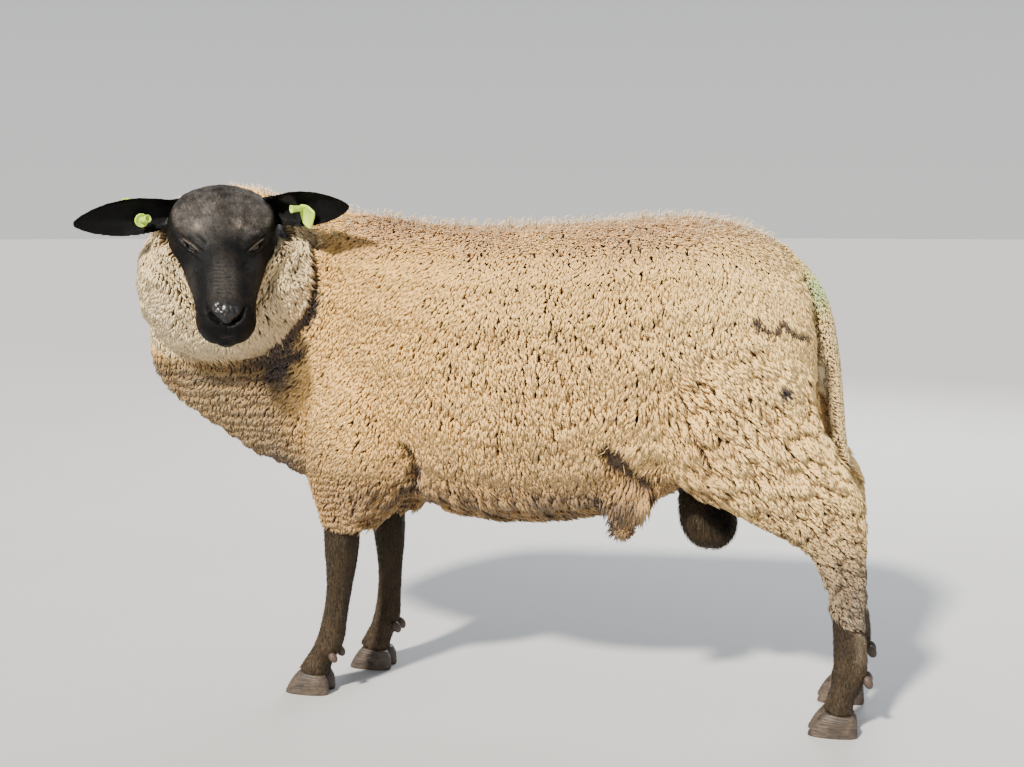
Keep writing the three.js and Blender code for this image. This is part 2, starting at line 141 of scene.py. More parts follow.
def scatter(cells, seed):
    """A number from 0 to 1 for each whole-number cell: its three coordinates mixed by large odd factors."""
    cells = cells.astype(np.int64)
    mixed = cells[..., 0] * 73856093 ^ cells[..., 1] * 19349663 ^ cells[..., 2] * 83492791 ^ seed * 2654435761
    mixed = (mixed ^ (mixed >> 13)) * 1274126177 & 0xFFFFFFFF
    mixed = (mixed ^ (mixed >> 16)) * 2246822519 & 0xFFFFFFFF
    return ((mixed ^ (mixed >> 15)) & 0xFFFFFF) / 0x1000000


def drift(points, size, seed):
    """Smooth noise from -1 to 1: random values on a lattice of this size, joined by cubic steps."""
    place = points / size
    cell = np.floor(place)
    share = place - cell
    share = share * share * (3 - 2 * share)
    total = np.zeros(len(points))
    for corner in np.ndindex(2, 2, 2):
        weight = np.prod(np.where(np.array(corner) == 1, share, 1 - share), axis=1)
        total += weight * scatter(cell + np.array(corner), seed)
    return total * 2 - 1


def lockwork(points, size, stretch, seed):
    """Groups points into locks, one round each of a lattice's jittered middles.

    Returns the way from each point to the middle of its lock, a random number for each lock, and how deep
    the point lies in its lock: the difference of the distances to the two nearest middles, in sizes.
    """
    scale = size * np.array(stretch)
    place = points / scale
    cell = np.floor(place)
    nearest = np.full(len(points), 9.0)
    second = np.full(len(points), 9.0)
    way = np.zeros((len(points), 3))
    luck = np.zeros(len(points))
    for corner in np.ndindex(3, 3, 3):
        other = cell + np.array(corner) - 1
        jitter = np.stack([scatter(other, seed + axis) for axis in range(3)], axis=-1)
        gap = other + 0.15 + 0.7 * jitter - place
        distance = np.linalg.norm(gap, axis=1)
        closer = distance < nearest
        second = np.where(closer, nearest, np.minimum(second, distance))
        way[closer] = (gap * scale)[closer]
        luck[closer] = scatter(other, seed + 7)[closer]
        nearest = np.where(closer, distance, nearest)
    return way, luck, second - nearest


def line_distance(points, line):
    """The distance from each point to a line of straight stretches."""
    line = np.array(line)
    best = np.full(len(points), 9.0)
    for start, end in zip(line[:-1], line[1:]):
        reach = end - start
        share = np.clip((points - start) @ reach / (reach @ reach), 0, 1)
        best = np.minimum(best, np.linalg.norm(points - start - share[:, None] * reach, axis=1))
    return best


# ---------------------------------------------------------------- the head's own frame
# x to the ram's left, y out of the brow, z from the poll to the nose.
EYES = {side: middle(f"eye_{name}") for name, side in SIDES}
HEAD_LEFT = unit(EYES[1] - EYES[-1])
FACING = np.cross(HEAD_LEFT, UP)
NOSEWARD = FACING * math.cos(HEAD_PITCH) - UP * math.sin(HEAD_PITCH)
BROWWARD = np.cross(NOSEWARD, HEAD_LEFT)
HEAD_AXES = np.array([HEAD_LEFT, BROWWARD, NOSEWARD])
POLL = (EYES[1] + EYES[-1]) / 2 - np.array(EYE_FROM_POLL) @ HEAD_AXES


def to_head(points):
    return (points - POLL) @ HEAD_AXES.T


def eye_axes(side):
    """The eye's slit, the way it looks and its upward direction, as directions in the model's frame."""
    mirror = np.array([side, 1, 1])
    slit = unit(np.array(EYE_SLIT) * mirror)
    look = np.array(EYE_LOOK) * mirror
    look = unit(look - slit * (look @ slit))
    upward = -side * np.cross(slit, look)
    return slit @ HEAD_AXES, look @ HEAD_AXES, upward @ HEAD_AXES


def node_points(node):
    return points_of(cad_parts[node].data)


def skull_sizes():
    """Half width, brow line and jaw line of the head at even steps from poll to nose, from its own solid."""
    local = to_head(node_points("head"))
    stations = np.linspace(local[:, 2].min() + 0.006, local[:, 2].max() - 0.006, 17)
    rows = []
    for station in stations:
        ring = local[np.abs(local[:, 2] - station) < 0.010]
        rows.append((np.abs(ring[:, 0]).max(), ring[:, 1].max(), ring[:, 1].min()))
    return stations, np.array(rows)


SKULL_STATIONS, SKULL_ROWS = skull_sizes()


def skull_reach(points):
    """How far out of the skull a point lies: 1 on its surface, from a rounded square ring at each station."""
    x, y, z = to_head(points).T
    half, brow, jaw = (np.interp(z, SKULL_STATIONS, row) for row in SKULL_ROWS.T)
    half = half + 0.010 * hill(z, 0.045, 0.045)
    brow = brow + 0.004 * hill(z, 0.0, 0.04)
    centre = (brow + jaw) / 2
    ring = (np.abs(x / half) ** 2.3 + np.abs((y - centre) / (brow - centre)) ** 2.3) ** (1 / 2.3)
    beyond = np.maximum(np.maximum(SKULL_STATIONS[0] - z, z - SKULL_STATIONS[-1]), 0) / 0.05
    return ring + beyond


# ---------------------------------------------------------------- regions of the body
def within(points, node, soft, grow=0.0):
    """1 inside a node's box and 0 further outside it than soft."""
    low, high = corners(node)
    inside = np.minimum(points - low + grow, high + grow - points).min(axis=1)
    return step(-soft, 0, inside)


JAW_LINE = ((0.02, 0.07, 0.11, 0.135, 0.155, 0.175), (-0.040, -0.046, -0.047, -0.054, -0.078, -0.13))
TEMPLE = (0.077, -0.014, 0.028)  # where the left ear leaves the head, in the head's frame


def jaw_wool_share(points):
    """1 on the woolly side of the jaw: behind a line that falls from the ear to the throat."""
    local = to_head(points)
    below_ear = step(0.066, 0.082, np.abs(local[:, 0])) * step(0.062, 0.046, local[:, 2])
    line = np.interp(local[:, 2], *JAW_LINE) - 0.018 * below_ear
    return step(0.005, -0.005, local[:, 1] - line)


def head_share(points):
    """1 on the head, but not where wool grows on the jaw."""
    local = to_head(points)
    local[:, 0] = np.abs(local[:, 0])
    temple = step(0.047, 0.039, np.linalg.norm(local - TEMPLE, axis=1))
    return np.maximum(step(1.20, 1.08, skull_reach(points)), temple) * (1 - jaw_wool_share(points))


def shank_share(points):
    """1 on the black lower legs: below a plane on each leg that falls from the front to the rear."""
    share = np.zeros(len(points))
    for leg in LEGS:
        low, high = corners(f"lower_{leg}")
        bottom = corners(f"upper_{leg}")[0][2]
        rear = np.clip((points[:, 0] - low[0]) / (high[0] - low[0]), 0, 1)
        level = blend(high[2] + (0.020 if "front" in leg else 0.012), bottom, rear)
        aside = np.maximum(np.abs(points[:, 1] - middle(f"lower_{leg}")[1]) - 0.05, 0)
        along = np.maximum(np.abs(points[:, 0] - middle(f"lower_{leg}")[0]) - 0.10, 0)
        share = np.maximum(share, step(0.012, -0.012, points[:, 2] - level + aside + along))
    return share


def scrotum_share(points):
    low, high = corners("scrotum")
    reach = np.linalg.norm((points - (low + high) / 2) / ((high - low) / 2 * 1.12), axis=1)
    return step(1.25, 1.05, reach)


def surface_points(node):
    """The corners, the edges' middles and the faces' middles of a node's triangles."""
    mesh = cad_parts[node].data
    mesh.calc_loop_triangles()
    index = column(mesh.loop_triangles, "vertices", 3, np.int32)
    a, b, c = np.moveaxis(points_of(mesh)[index], 1, 0)
    every = np.concatenate([a, b, c, (a + b) / 2, (b + c) / 2, (c + a) / 2, (a + b + c) / 3])
    return np.unique(every.round(4), axis=0)


EAR_POINTS = {ear: surface_points(ear) for ear in EARS}


def ear_share(points):
    """1 on the ears: within a few millimetres of the surface of their solids."""
    share = np.zeros(len(points))
    for ear in EARS:
        own = np.flatnonzero(within(points, ear, 0.001, 0.012) > 0)
        for part in np.array_split(own, max(1, len(own) // 3000)):
            gap = np.linalg.norm(points[part, None] - EAR_POINTS[ear][None], axis=2).min(axis=1)
            share[part] = np.maximum(share[part], step(0.012, 0.008, gap))
    return share


def black_share(points):
    """1 where the coat is short and black."""
    shares = (head_share(points), shank_share(points), scrotum_share(points), ear_share(points))
    return np.maximum.reduce(shares)


TAIL_LOW, TAIL_HIGH = corners("tail")
TRUNK_LOW, TRUNK_HIGH = corners("trunk")
NECK_REAR = corners("neck")[1][0]

# The tail at these levels: the place of its middle along the body, and half its width.
TAIL_LEVELS = np.array([0.40, 0.416, 0.44, 0.485, 0.545, 0.60, 0.65, 0.69, 0.722, 0.75])
TAIL_PLACES = np.array([0.5625, 0.5555, 0.5455, 0.5385, 0.5315, 0.5245, 0.5145, 0.4985, 0.4775, 0.450])
TAIL_HALF = np.array([0.012, 0.020, 0.028, 0.033, 0.035, 0.037, 0.038, 0.038, 0.034, 0.026])
TAIL_THICK = 0.019


def tail_reach(points):
    """How far out of the tail's middle a point lies: 1 on the tail's surface, an oval at each level."""
    x, y, z = points.T
    ahead = x - np.interp(z, TAIL_LEVELS, TAIL_PLACES)
    aside = (y - (TAIL_LOW[1] + TAIL_HIGH[1]) / 2) / np.interp(z, TAIL_LEVELS, TAIL_HALF)
    return np.hypot(ahead / TAIL_THICK, aside) + np.maximum(z - TAIL_HIGH[2], TAIL_LOW[2] - z).clip(0) / 0.02


def tail_share(points):
    """1 on the hanging tail."""
    return step(1.45, 1.15, tail_reach(points))


def leg_wool_share(points):
    share = np.zeros(len(points))
    for node in LEG_WOOL:
        share = np.maximum(share, within(points, node, 0.05))
    return share * step(0.42, 0.36, points[:, 2])


RUFF_MIDDLE = POLL + FACING * -0.075 + UP * -0.152
RUFF_HALF = (0.187, 0.112, 0.1225)  # to the head's left, to its front and up


def ruff_reach(points):
    """How far out of the collar of wool behind the head a point lies: 1 on a squarish egg turned with it."""
    gap = points - RUFF_MIDDLE
    x, y, z = dot(gap, HEAD_LEFT) / RUFF_HALF[0], dot(gap, FACING) / RUFF_HALF[1], gap[:, 2] / RUFF_HALF[2]
    return (np.abs(x) ** 2.6 + np.abs(y) ** 2.6 + np.abs(z) ** 2.6) ** (1 / 2.6)


# The furrow along the ruff's left border, its soft end on the chest, and the wool behind the left ear in the
# ear's shadow: the fleece is painted dark along them as shade, with some soiling.
CREASE = ((-0.283, -0.085, 0.751), (-0.277, -0.093, 0.732), (-0.2755, -0.096, 0.711), (-0.276, -0.097, 0.692),
          (-0.279, -0.099, 0.671), (-0.285, -0.102, 0.655), (-0.296, -0.107, 0.635), (-0.308, -0.112, 0.620),
          (-0.323, -0.110, 0.602), (-0.338, -0.102, 0.586))
HOLLOW = ((-0.338, -0.102, 0.586), (-0.364, -0.090, 0.545))
BEHIND_EAR = ((-0.294, -0.069, 0.773), (-0.248, -0.084, 0.758))


def beyond_crease(points):
    """1 past the crease at the ruff's left border, where the body's own wool begins."""
    line = np.array(CREASE[::-1])
    border = np.interp(points[:, 2], line[:, 2], line @ HEAD_LEFT)
    return step(0.001, 0.009, points @ HEAD_LEFT - border) * step(0.775, 0.755, points[:, 2])


def ruff_share(points):
    """1 in the collar of wool behind the head."""
    near = step(1.10, 1.0, ruff_reach(points)) * step(NECK_REAR + 0.05, NECK_REAR - 0.01, points[:, 0])
    return near * (1 - beyond_crease(points))


def crease_share(points):
    """1 in the furrow where the ruff meets the shoulder and the chest, but not over the top of the neck; the
    wool there is painted with shade and some soil.
    """
    wave = 0.03 * drift(points, 0.03, 51)
    gap = points - RUFF_MIDDLE
    aside, level = dot(gap, HEAD_LEFT) / RUFF_HALF[0], gap[:, 2] / RUFF_HALF[2]
    below = step(-0.2, -0.8, level)
    near = hill(ruff_reach(points) + wave, 1.035 + 0.08 * below, 0.036 + 0.045 * below)
    corner = hill(aside, 0.36, 0.20) * hill(level, -1.22, 0.24) * step(0, 0.06, dot(gap, FACING))
    near = np.maximum(near * step(0.75, 0.60, aside), corner)
    low = step(0.68, 0.61, points[:, 2])
    width = 0.012 + 0.007 * low
    near = np.maximum(near, step(width, 0.4 * width, line_distance(points, CREASE) + 0.1 * wave))
    near = np.maximum(near, 0.9 * step(0.024, 0.010, line_distance(points, BEHIND_EAR) + 0.2 * wave))
    hollow = step(0.030, 0.012, line_distance(points, HOLLOW) + 0.2 * wave)
    near = np.maximum(near, hollow * step(-0.2, 0.1, aside))
    return near * step(0.80, 0.75, points[:, 2]) * step(-0.23, -0.26, points[:, 0]) * step(-0.05, 0.35, aside)


def nape_share(points):
    """1 on the crest of wool that stands up behind the crown, between the ears and to their left."""
    local = to_head(points)
    near = np.linalg.norm((local - np.array([0.040, -0.02, -0.040])) / [0.055, 0.05, 0.05], axis=1)
    return step(1.25, 0.6, near)


def coat_depth(points):
    """How far the skin lies inside the solids: deep under wool, and just under the solid where it is bare."""
    depth = blend(FLEECE_DEPTH, LEG_WOOL_DEPTH, leg_wool_share(points))
    depth = blend(depth, TAIL_WOOL_DEPTH, tail_share(points))
    depth = blend(depth, JAW_WOOL_DEPTH, step(1.30, 1.10, skull_reach(points)))
    return blend(depth, UNDER_HAIR, black_share(points))


# ---------------------------------------------------------------- meshes as arrays
def normals_of(mesh):
    return column(mesh.vertex_normals, "vector", 3).astype(float)


def faces_of(mesh):
    """The middle and the normal of every face."""
    return tuple(column(mesh.polygons, name, 3).astype(float) for name in ("center", "normal"))


def place_points(mesh, points):
    mesh.vertices.foreach_set("co", points.ravel())
    mesh.update()


def swell(mesh, height):
    """Moves every point out along its normal, by one height or by its own."""
    place_points(mesh, points_of(mesh) + normals_of(mesh) * np.reshape(height, (-1, 1)))


def relax(mesh, rounds, share=0.5, keep=0.0):
    """Moves each point a share of the way to the mean of its neighbours, and back out by keep of that way."""
    edges = column(mesh.edges, "vertices", 2, np.int32)
    points = points_of(mesh)
    ends = edges.ravel()
    others = edges[:, ::-1].ravel()
    count = np.bincount(ends, minlength=len(points))[:, None]
    for _ in range(rounds):
        for pace in (share, -keep):
            total = [np.bincount(ends, points[others, axis], minlength=len(points)) for axis in range(3)]
            points = points + (np.stack(total, axis=1) / count - points) * pace
    place_points(mesh, points)


def merged_copy(nodes):
    """The triangles of several nodes in one mesh, with the corners they share merged."""
    work = bmesh.new()
    for node in nodes:
        work.from_mesh(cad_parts[node].data)
    bmesh.ops.remove_doubles(work, verts=work.verts, dist=1e-5)
    mesh = bpy.data.meshes.new("flesh")
    work.to_mesh(mesh)
    work.free()
    return mesh


def applied(mesh, kind, **settings):
    """The mesh with one modifier of this kind applied."""
    thing = new_object("work", mesh)
    change = thing.modifiers.new("work", kind)
    for setting, value in settings.items():
        setattr(change, setting, value)
    done = bpy.data.meshes.new_from_object(thing.evaluated_get(bpy.context.evaluated_depsgraph_get()))
    bpy.data.objects.remove(thing)
    return done


def even_faces(mesh, grain):
    """One closed surface round a mesh, made of even squares as wide as grain."""
    return applied(mesh, "REMESH", mode="VOXEL", voxel_size=grain, adaptivity=0.0)


def sink(mesh, depth, stages=4):
    """Moves every point inwards along its normal by the coat's depth, smoothing after each stage."""
    whole = depth(points_of(mesh))
    for _ in range(stages):
        swell(mesh, -whole / stages)
        relax(mesh, 2, 0.5)


# ---------------------------------------------------------------- the skin
# Bosses and hollows of the head: place in its frame, radius and height, in millimetres. Each has its mirror.
HEAD_FORMS = (
    (24, 12, 58, 17, 2.2),  # boss of the forehead
    (50, 2, 14, 24, 6.0),  # corner of the crown
    (64, -8, 36, 26, 10.0),
    (0, 12, -6, 34, 5.0),  # top of the crown
    (0, 12, 84, 12, -1.6),  # dip between the eyes
    (66, -26, 72, 24, 7.0),  # temple and arch of the cheek
    (40, 3, 68, 6, 1.6),  # brow above the inner corner of the eye
    (47, -34, 118, 9, 2.2),  # cheek bone below the eye
    (42, -44, 140, 8, 2.0),
    (38, -52, 162, 8, 1.4),
    (33, -18, 108, 7, -2.0),  # pit in front of the eye's inner corner
    (52, -88, 70, 22, 2.5),  # muscle of the jaw
    (30, -26, 150, 12, -1.6),  # flat of the muzzle above the cheek line
    (30, -62, 212, 11, 1.8),  # pad of the upper lip
    (0, -12, 222, 12, 5.0),  # dome of the nose between the nostrils
    (0, -100, 214, 14, 13.0),  # chin
    (31, -84, 222, 15, -6.0),  # the lower lip draws in beside the chin
    (32, -48, 214, 12, 3.0),  # side of the upper lip
)


LID_SIZE = (0.021, 0.0036)  # half the length and half the height of the rims round the closed slit


def lid_reach(along, rise):
    """How far a point lies from the middle of the slit, in sizes of its rims."""
    return np.hypot(along / LID_SIZE[0], rise / LID_SIZE[1])


def eye_zone(points, side):
    """Place of points about an eye: along the slit, up, out of the head, and their reach in lid sizes."""
    slit, look, upward = eye_axes(side)
    gap = points - (EYES[side] + look * EYE_RADIUS * 0.9)
    along, rise, out = gap @ slit, gap @ upward, gap @ look
    return along, rise, out, np.hypot(along / 0.019, rise / 0.0085)


def shape_eyelids(mesh):
    """Draws both lids over the eyeball: near the slit the height is squeezed, and lids lie on the ball."""
    points = points_of(mesh)
    normals = normals_of(mesh)
    for side in (1, -1):
        _, look, upward = eye_axes(side)
        _, rise, out, reach = eye_zone(points, side)
        near = step(2.5, 1.0, reach) * step(0.022, 0.014, np.abs(out))
        points = points - upward * (rise * 0.76 * near)[:, None]
        radial = points - EYES[side]
        distance = np.linalg.norm(radial, axis=1)
        outer = step(-0.3, 0.4, dot(normals, unit(radial)))
        least = EYE_RADIUS + 0.0005 + 0.0016 * outer
        push = np.maximum(least - distance, 0) * near * step(-0.016, -0.010, out)
        points = points + unit(radial) * push[:, None]
        along, rise, out, _ = eye_zone(points, side)
        slim = lid_reach(along, rise)
        above = step(0, 0.003, rise)
        fold = 0.0013 * hill(slim, 1.3, 0.25) - 0.0016 * hill(slim, 2.2, 0.3) * above
        fold = fold + 0.0007 * hill(slim, 3.0, 0.4) * above - 0.0006 * hill(slim, 3.9, 0.4) * above
        fold = fold - 0.0010 * hill(slim, 2.2, 0.4) * (1 - above)
        fold = fold * outer * step(-0.014, -0.006, out) * step(0.031, 0.018, np.abs(along))
        points = points + look * fold[:, None]
    place_points(mesh, points)


def mouth_line(local):
    """Distance above the line of the mouth, which runs back from the front of the lips and rises a little."""
    back = np.clip((0.240 - local[:, 2]) / 0.06, 0, 1)
    return local[:, 1] - blend(-0.0725, -0.0700, back) + 0.006 * hill(back, 0.45, 0.3)


NOSTRIL_LINE = ((0.0, 0.008, 0.019, 0.028), (-0.0275, -0.0262, -0.0215, -0.0150))


def nostril_depth(local):
    """1 along the dark groove that runs from each nostril's outer end down to the cleft under the nose."""
    beside = np.abs(local[:, 0])
    groove = hill(local[:, 1] - np.interp(beside, *NOSTRIL_LINE), 0, 0.0030)
    return groove * step(0.033, 0.028, beside) * step(0.200, 0.210, local[:, 2])


def shape_face(mesh):
    """Adds the head's bosses and hollows, the mouth, the cleft of the lip, the grooves of the nostrils, the
    pebbled nose and the folds across its bridge."""
    points = points_of(mesh)
    normals = normals_of(mesh)
    local = to_head(points)
    lift = np.zeros(len(points))
    for x, y, z, radius, height in HEAD_FORMS:
        for side in (1, -1) if x else (1,):
            gap = local * 1000 - np.array([x * side, y, z])
            lift += height / 1000 * np.exp(-((np.linalg.norm(gap, axis=1) / radius) ** 2))
    above = mouth_line(local)
    lips = step(0.176, 0.190, local[:, 2]) * step(-0.03, -0.05, local[:, 1])
    lift -= 0.0034 * hill(above, 0, 0.0017) * lips
    lift += 0.0010 * hill(above, 0.005, 0.003) * lips
    lift -= 0.0014 * step(0, -0.006, above) * step(0.2, 0.225, local[:, 2]) * lips
    cleft = step(0.214, 0.226, local[:, 2]) * step(-0.068, -0.060, local[:, 1])
    cleft = cleft * step(-0.022, -0.032, local[:, 1])
    lift -= 0.0018 * hill(local[:, 0], 0, 0.0018) * cleft
    lift -= 0.0042 * nostril_depth(local) * step(-0.2, 0.4, dot(normals, unit(NOSEWARD + BROWWARD)))
    pebbles = drift(points, 0.0045, 72) + 0.6 * drift(points, 0.009, 73)
    lift += 0.0011 * pebbles * step(0.020, 0.014, np.abs(local[:, 0])) * step(0.200, 0.208, local[:, 2])
    bridge = step(0.020, 0.007, np.abs(local[:, 0])) * step(-0.02, -0.01, local[:, 1])
    bridge = bridge * step(0.132, 0.156, local[:, 2]) * step(0.198, 0.184, local[:, 2])
    bend = local[:, 2] + 6 * local[:, 0] ** 2 + 0.0012 * drift(points, 0.012, 54)
    lift += 0.0005 * np.sin(bend / 0.0066 * 2 * math.pi) * bridge
    place_points(mesh, points + normals * lift[:, None])


def refine(mesh, wanted):
    """Splits the edges of the faces that wanted picks, so that they can hold finer forms."""
    work = bmesh.new()
    work.from_mesh(mesh)
    work.faces.ensure_lookup_table()
    centres, _ = faces_of(mesh)
    faces = [work.faces[index] for index in np.flatnonzero(wanted(centres))]
    edges = list({edge for face in faces for edge in face.edges})
    bmesh.ops.subdivide_edges(work, edges=edges, cuts=1, use_grid_fill=True)
    work.to_mesh(mesh)
    work.free()


def fine_places(points):
    """Where the face needs finer faces: round the eyes and the nostrils and along the mouth."""
    local = to_head(points)
    eyes = np.minimum(eye_zone(points, 1)[3], eye_zone(points, -1)[3]) < 2.2
    eyes &= np.minimum(np.abs(eye_zone(points, 1)[2]), np.abs(eye_zone(points, -1)[2])) < 0.016
    nose = (local[:, 2] > 0.206) & (local[:, 1] > -0.05)
    mouth = (local[:, 2] > 0.178) & (np.abs(mouth_line(local)) < 0.007)
    bridge = (local[:, 2] > 0.128) & (np.abs(local[:, 0]) < 0.022) & (local[:, 1] > -0.025)
    return eyes | nose | mouth | bridge


def ear_skin():
    """Both ears' flaps in finer faces than the head's, to lie over the head's own coarse ears.

    They are made thicker by EAR_GROWTH before the even faces are laid, so that the thin rims stay whole, and
    thinner by it again afterwards.
    """
    thick = merged_copy(EARS)
    swell(thick, EAR_GROWTH)
    mesh = even_faces(thick, EAR_GRAIN)
    relax(mesh, 10, 0.55, 0.54)
    swell(mesh, -EAR_GROWTH)
    return mesh


def head_skin():
    """Head and ears; the ears' coarse flaps are drawn in under the fine ones."""
    mesh = even_faces(merged_copy(("head",) + EARS), HEAD_GRAIN)
    relax(mesh, 4, 0.55, 0.56)
    rough = points_of(mesh)
    ears = ear_share(rough)
    relax(mesh, 14, 0.55, 0.54)
    place_points(mesh, blend(rough, points_of(mesh), ears[:, None]))
    kept = points_of(mesh)
    relax(mesh, 40, 0.5)
    flap = ears * step(1.12, 1.35, skull_reach(rough))
    place_points(mesh, blend(kept, points_of(mesh), flap[:, None]))
    refine(mesh, fine_places)
    relax(mesh, 2, 0.5, 0.5)
    points = points_of(mesh)
    woolly = jaw_wool_share(points) * (1 - ear_share(points)) * step(1.3, 1.15, skull_reach(points))
    swell(mesh, -(HAIR_LIFT * 0.3 + JAW_WOOL_DEPTH * woolly))
    shape_face(mesh)
    shape_eyelids(mesh)
    relax(mesh, 1, 0.3, 0.3)
    return mesh


def leg_forms(mesh):
    """Draws the legs in under their hair, with a groove down each side between the bone and the tendon."""
    points = points_of(mesh)
    normals = normals_of(mesh)
    lift = np.full(len(points), -HAIR_LIFT)
    for leg in LEGS:
        low, high = corners(f"lower_{leg}")
        inside = within(points, f"lower_{leg}", 0.01, 0.01)
        share = np.clip((points[:, 2] - low[2]) / (high[2] - low[2]), 0, 1)
        lean = 0.062 * (share - 0.35) if "front" in leg else 0.004
        line = blend(low[0], high[0], 0.52) + lean
        groove = 0.0022 * inside * np.abs(normals[:, 1]) ** 2
        lift -= groove * hill(points[:, 0] - line, 0.010, 0.006) * hill(share, 0.45, 0.22)
    swell(mesh, lift)


def leg_skin():
    mesh = even_faces(merged_copy(SHANKS + ("scrotum",)), LEG_GRAIN)
    relax(mesh, 5, 0.55, 0.56)
    leg_forms(mesh)
    return mesh


def body_skin(grain):
    """The whole body without its ears, sunk by the depth of the coat."""
    mesh = even_faces(merged_copy([node for node in FLESH if node not in EARS]), grain)
    relax(mesh, 6, 0.5)
    sink(mesh, coat_depth)
    return mesh


def united(*meshes):
    """Several closed surfaces joined into one, with what lies inside the others cut away."""
    whole = meshes[0]
    for other in meshes[1:]:
        cutter = new_object("cutter", other)
        whole = applied(whole, "BOOLEAN", operation="UNION", solver="MANIFOLD", object=cutter)
        bpy.data.objects.remove(cutter)
    return whole


# ---------------------------------------------------------------- colours that skin and coat share
CREAM = linear(244, 203, 124)
WARM = linear(245, 198, 110)
PALE = linear(251, 217, 144)
DUSTY = linear(198, 155, 108)
RUFF_GREY = linear(231, 211, 166)
UNDERSIDE = linear(176, 140, 84)
CHEST = linear(138, 114, 72)
# Soil and painted shade: it darkens soiled marks, and the creases, folds and pits where shade falls.
SOIL_AND_SHADE = linear(70, 48, 29)
GREEN_STAIN = linear(172, 214, 150)
BLACK = linear(12, 12, 13)
DARKEST = linear(4, 4, 4)
# painted shade: the hollow inside the ear, darker than the black hair
INNER_EAR = linear(3, 3, 3)
FOREHEAD = linear(64, 61, 58)
PALE_HAIR = linear(128, 116, 104)
LEG_BROWN = linear(49, 41, 30)
LEG_GREY = linear(92, 82, 68)

DUST = (160, 122, 84)  # on the tips of the wool, on the same scale

LID_GLOSS = 0.22  # how bare the rims of the lids are
UNDER_WOOL = 0.95  # how much of the wool's light reaches the skin below it
SEAM = ((0.425, -0.141, 0.656), (0.434, -0.139, 0.638), (0.451, -0.132, 0.637), (0.465, -0.118, 0.650),
        (0.480, -0.113, 0.634), (0.504, -0.076, 0.626))  # a dark parting across the buttock
SPECK = (0.471, -0.145, 0.548)
BRISKET = (-0.375, -0.03, 0.385)  # a darker patch under the chest, and its half sizes
BRISKET_HALF = (0.05, 0.06, 0.03)
# Hollows of the fleece, painted dark as shade: in front of the thigh, behind the elbow, and beside the tail.
FLANK_PIT = (0.226, -0.150, 0.424)
PITS = (((0.205, -0.162, 0.452), (0.225, -0.145, 0.420), (0.240, -0.123, 0.404), (0.259, -0.117, 0.395),
         (0.276, -0.108, 0.386)),
        ((-0.118, -0.142, 0.436), (-0.108, -0.130, 0.408), (-0.115, -0.105, 0.380), (-0.118, -0.085, 0.350)))


# A strip of painted shade in the gap between the tail and the left buttock.
TAIL_GAP = ((0.519, 0.006, 0.564), (0.5225, 0.006, 0.543), (0.5245, 0.007, 0.519), (0.530, 0.0065, 0.496),
            (0.532, 0.009, 0.472))


def painted(tone, colour, share):
    return blend(tone, colour, np.clip(share, 0, 1)[:, None])


def layered(tone, layers):
    """The tone with each colour painted over it in turn, where its share is."""
    for colour, share in layers:
        tone = painted(tone, colour, share)
    return tone


def pit_share(points):
    """1 in the pits of the fleece, painted dark as shade: in front of the thigh, behind the elbow and beside
    the tail.
    """
    x, y, z = points.T
    rough = 0.004 * drift(points, 0.012, 52)
    near = np.minimum(line_distance(points, PITS[0]), line_distance(points, PITS[1]))
    widening = 0.010 * hill(np.linalg.norm(points - np.array(FLANK_PIT), axis=1), 0, 0.03)
    pits = step(0.019, 0.007, near + 1.6 * rough - widening)
    wide = 0.35 * step(0.54, 0.57, z)
    gap = 0.85 * step(1.85 + wide, 1.45 + wide, tail_reach(points) + rough * 30) * (1 - tail_share(points))
    gap = gap * step(0.44, 0.46, z) * step(0.675, 0.64, z)
    strip = step(0.026, 0.013, line_distance(points, TAIL_GAP) + rough)
    strip = strip * step(0.03, 0.02, y) * step(0.542, 0.534, x)
    return np.maximum(np.maximum(pits, gap), strip)


